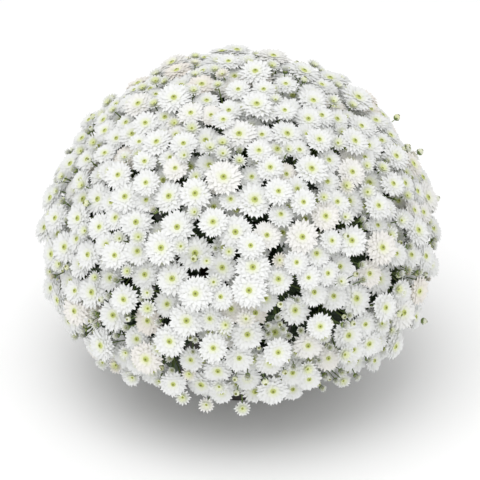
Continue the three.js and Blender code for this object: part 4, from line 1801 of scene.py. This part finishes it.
@dataclass
class Pot:
    """The plain tapered pot, spun from its profile, and the soil in it.

    Attributes:
        height: overall height.
        base: radius of the underside.
        mouth: radius of the wall's outside at the top.
        steps: how many sides it is spun with.
        holes: how many drain holes it has, and hole_circle how far out they are.
        edge: how far its edges are rounded.
        soil_sides: how many sides the soil has.
        soil_dip: how far below its full height the soil's flat top is, before its lumps.
        soil_gap: the gap between soil and pot.
        soil_rings: where the rings of corners on its top are, each as a share of the one before.
        ring_share: how much of that step an inset takes.
        lump: how high its lumps are.
    """

    height: float = 0.150
    base: float = 0.083
    mouth: float = 0.111
    wall: float = 0.003
    rim_height: float = 0.016
    rim_width: float = 0.005
    steps: int = 96
    holes: int = 6
    hole_radius: float = 0.006
    hole_circle: float = 0.055
    hole_sides: int = 24
    cutter_height: float = 0.02
    edge: float = 0.0008
    soil_height: float = 0.132
    soil_sides: int = 64
    soil_dip: float = 0.0025
    soil_gap: float = 0.0004
    soil_rings: tuple[float, ...] = (0.86, 0.84, 0.82, 0.78, 0.72, 0.6, 0.4)
    ring_share: float = 0.45
    lump: float = 0.004
    seed: int = 3

    def radius(self, height: float) -> float:
        """The outer radius of the wall at a height."""
        return self.base + (self.mouth - self.base) * height / self.height

    def model(self) -> bpy.types.Object:
        """Spins the wall and cuts the drain holes through its floor.

        Returns:
            The pot.
        """
        under = self.height - self.rim_height
        rim = self.mouth + self.rim_width
        profile = [
            (0.0, 0.0),
            (self.radius(0), 0.0),
            (self.radius(under), under),
            (self.radius(under) + self.rim_width, under),
            (rim, self.height),
            (rim - self.wall, self.height),
            (self.radius(under) - self.wall, under - self.wall),
            (self.radius(self.wall) - self.wall, self.wall),
            (0.0, self.wall),
        ]
        mesh = bpy.data.meshes.new("pot_body")
        mesh.from_pydata([(x, 0, z) for x, z in profile], [(i, i + 1) for i in range(len(profile) - 1)], [])
        obj = bpy.data.objects.new("pot_body", mesh)
        bpy.context.scene.collection.objects.link(obj)
        select_only(obj)
        with editing():
            bpy.ops.mesh.spin(steps=self.steps, angle=2 * math.pi, center=(0, 0, 0), axis=(0, 0, 1))
            bpy.ops.mesh.select_all(action="SELECT")
            bpy.ops.mesh.remove_doubles(threshold=1e-6)
            bpy.ops.mesh.normals_make_consistent(inside=False)
        for number in range(self.holes):
            bpy.ops.mesh.primitive_cylinder_add(
                vertices=self.hole_sides,
                radius=self.hole_radius,
                depth=self.cutter_height,
                location=around(np.zeros(3), UP, 2 * math.pi * number / self.holes, self.hole_circle),
            )
            cutter = bpy.context.active_object
            apply_modifier(obj, "BOOLEAN", operation="DIFFERENCE", object=cutter, solver="EXACT")
            bpy.data.objects.remove(cutter)
        sharp = math.radians(40)
        apply_modifier(obj, "BEVEL", width=self.edge, segments=2, limit_method="ANGLE", angle_limit=sharp)
        select_only(obj)
        bpy.ops.object.shade_smooth_by_angle(angle=math.radians(35))
        return obj

    def model_soil(self) -> bpy.types.Object:
        """Fills the pot with soil that has a lumpy top.

        Returns:
            The soil.
        """
        bottom, top = self.wall + self.soil_gap, self.soil_height - self.soil_dip
        low = self.radius(bottom) - self.wall - self.soil_gap
        high = self.radius(top) - self.wall - self.soil_gap
        bpy.ops.mesh.primitive_cone_add(
            vertices=self.soil_sides,
            radius1=low,
            radius2=high,
            depth=top - bottom,
            location=(0, 0, (top + bottom) / 2),
        )
        obj = bpy.context.active_object
        obj.name = "soil_fill"
        bpy.ops.object.transform_apply()
        bpy.ops.object.mode_set(mode="EDIT")
        for share in self.soil_rings:
            # The top's middle face is the one that each inset leaves round the axis.
            select_faces(obj, lambda face: face.normal.z > 0.9 and face.center.xy.length < 0.01)
            bpy.ops.mesh.inset(thickness=high * (1 - share) * self.ring_share)
        bpy.ops.object.mode_set(mode="OBJECT")
        random = np.random.default_rng(self.seed)
        for vertex in obj.data.vertices:
            if vertex.co.z > top - 1e-5 and vertex.co.xy.length < high - 1e-4:
                vertex.co.z += random.uniform(0.0, self.lump)
        select_only(obj)
        bpy.ops.object.shade_smooth()
        return obj


@dataclass(frozen=True)
class Lamp:
    """One square lamp that faces the plant.

    Attributes:
        name: its name.
        place: where it hangs.
        size: its side.
        power: its power in watts.
    """

    name: str
    place: tuple[float, float, float]
    size: float
    power: float


@dataclass
class Studio:
    """The pale floor, the soft light and the camera.

    Attributes:
        elevation: the camera's angle above the horizon, in degrees.
        distance: from the camera to the point that it looks at.
        width: what the picture spans there.
        aim: that point.
        floor_size: the floor's side.
        floor_gap: how far below the pot the floor is.
        floor_shade: how pale it is.
        sky_strength: how bright the white sky is.
        lamps: the soft lamps, over the plant and in front of it.
    """

    elevation: float = 29.0
    distance: float = 2.2
    width: float = 0.600
    aim: tuple[float, float, float] = (0.001, 0.0, 0.185)
    sensor: float = 36.0
    floor_size: float = 12.0
    floor_gap: float = 0.0005
    floor_shade: float = 0.96
    sky_strength: float = 0.9
    lamps: tuple[Lamp, ...] = (
        Lamp("overhead", (-0.5, -0.9, 2.6), 2.2, 26.0),
        Lamp("front", (0.3, -2.6, 0.7), 2.0, 14.0),
    )

    def floor(self) -> None:
        """Lays the floor."""
        bpy.ops.mesh.primitive_plane_add(size=self.floor_size, location=(0, 0, -self.floor_gap))
        floor = bpy.context.active_object
        floor.name = "studio_floor"
        material, shader = new_material("studio_white")
        shade = (self.floor_shade, self.floor_shade, self.floor_shade, 1)
        feed(shader, {"Base Color": shade, "Roughness": 0.9, "Specular IOR Level": 0.1})
        floor.data.materials.append(material)

    def light(self) -> None:
        """Sets the white sky and the lamps."""
        world = bpy.data.worlds.new("studio_sky")
        bpy.context.scene.world = world
        world.use_nodes = True
        sky = world.node_tree.nodes["Background"]
        feed(sky, {"Color": (1.0, 1.0, 1.0, 1), "Strength": self.sky_strength})
        for lamp in self.lamps:
            self.hang(lamp)

    def hang(self, lamp: Lamp) -> None:
        """Hangs one lamp."""
        data = bpy.data.lights.new(lamp.name, "AREA")
        data.size = lamp.size
        data.energy = lamp.power
        hung = bpy.data.objects.new(lamp.name, data)
        hung.location = lamp.place
        hung.rotation_euler = (Vector(self.aim) - Vector(lamp.place)).to_track_quat("-Z", "Y").to_euler()
        bpy.context.scene.collection.objects.link(hung)

    def camera(self) -> None:
        """Places the camera."""
        data = bpy.data.cameras.new("camera")
        data.sensor_width = self.sensor
        data.lens = self.sensor * self.distance / self.width
        angle = math.radians(self.elevation)
        back = Vector((0, -math.cos(angle), math.sin(angle)))
        camera = bpy.data.objects.new("camera", data)
        camera.location = Vector(self.aim) + back * self.distance
        camera.rotation_euler = (-back).to_track_quat("-Z", "Y").to_euler()
        bpy.context.scene.collection.objects.link(camera)
        bpy.context.scene.camera = camera

    def build(self) -> None:
        """Sets up the studio."""
        self.camera()
        self.floor()
        self.light()
        bpy.context.scene.view_settings.view_transform = "Standard"


@dataclass
class Plant:
    """The whole plant in its pot.

    Attributes:
        bed: its layout.
        leaf_bends: droop, fold and wave of each variant of the leaf.
        triangles: how many its pieces have so far.
    """

    bed: Bed = field(default_factory=Bed)
    leaf_bends: tuple[tuple[float, float, float], ...] = (
        (0.16, 0.30, 0.03),
        (0.24, 0.18, 0.045),
        (0.05, 0.38, 0.02),
        (0.30, 0.26, 0.05),
    )
    triangles: int = 0

    def ready(self, piece: bpy.types.Object, slot: str, *nodes: str) -> None:
        """Hands a finished piece to the frame.

        Args:
            piece: the piece.
            slot: not used.
            nodes: the solids that it stands for.
        """
        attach(piece, "root")
        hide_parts(*nodes)
        piece.data.calc_loop_triangles()
        count = len(piece.data.loop_triangles)
        self.triangles += count
        log.info("%s: %d triangles", piece.name, count)

    def build_sprays(self) -> None:
        """Builds every spray, in a piece for its petals, one for its hearts and one for its green parts."""
        florist = Florist()
        finishes = (PetalFinish().make(), HeartFinish().make(), GreenFinish().make())
        for number in range(self.bed.spray_count):
            shapes = Spray(number, self.bed, florist).parts()
            for name, shape, finish in zip(("petals", "hearts", "pedicels"), shapes, finishes):
                piece = shape.piece(f"{name}_{number + 1:02d}", finish)
                self.ready(piece, "petals", f"spray_{number + 1:02d}")

    def build_stems(self) -> None:
        """Builds every stem, in a piece for its wood and one for its leaves."""
        cutter = LeafCutter()
        leaves = [cutter.model(*bend) for bend in self.leaf_bends]
        bark, blade = StemFinish().make(), LeafFinish().make()
        for number in range(self.bed.stem_count):
            wood, foliage = Stem(number, self.bed, leaves).parts()
            node = f"stem_{number + 1:02d}"
            self.ready(wood.piece(f"branches_{number + 1:02d}", bark), "leaves", node)
            self.ready(foliage.piece(f"foliage_{number + 1:02d}", blade), "leaves", node)

    def build_pot(self) -> None:
        """Builds the pot and its soil."""
        pot = Pot()
        body, soil = pot.model(), pot.model_soil()
        body.data.materials.append(PotFinish().make())
        soil.data.materials.append(SoilFinish().make())
        self.ready(body, "pot", "pot")
        self.ready(soil, "soil", "soil")


def main() -> None:
    """Builds the plant and its studio, and notes how many heads and triangles it has."""
    logging.basicConfig(level=logging.INFO, format="%(message)s")
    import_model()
    bpy.ops.object.select_all(action="DESELECT")
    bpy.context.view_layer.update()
    Studio().build()
    plant = Plant()
    log.info("heads: %d", len(plant.bed.heads))
    plant.build_sprays()
    plant.build_stems()
    plant.build_pot()
    log.info("all pieces: %d triangles", plant.triangles)


if __name__ == "__main__":
    main()
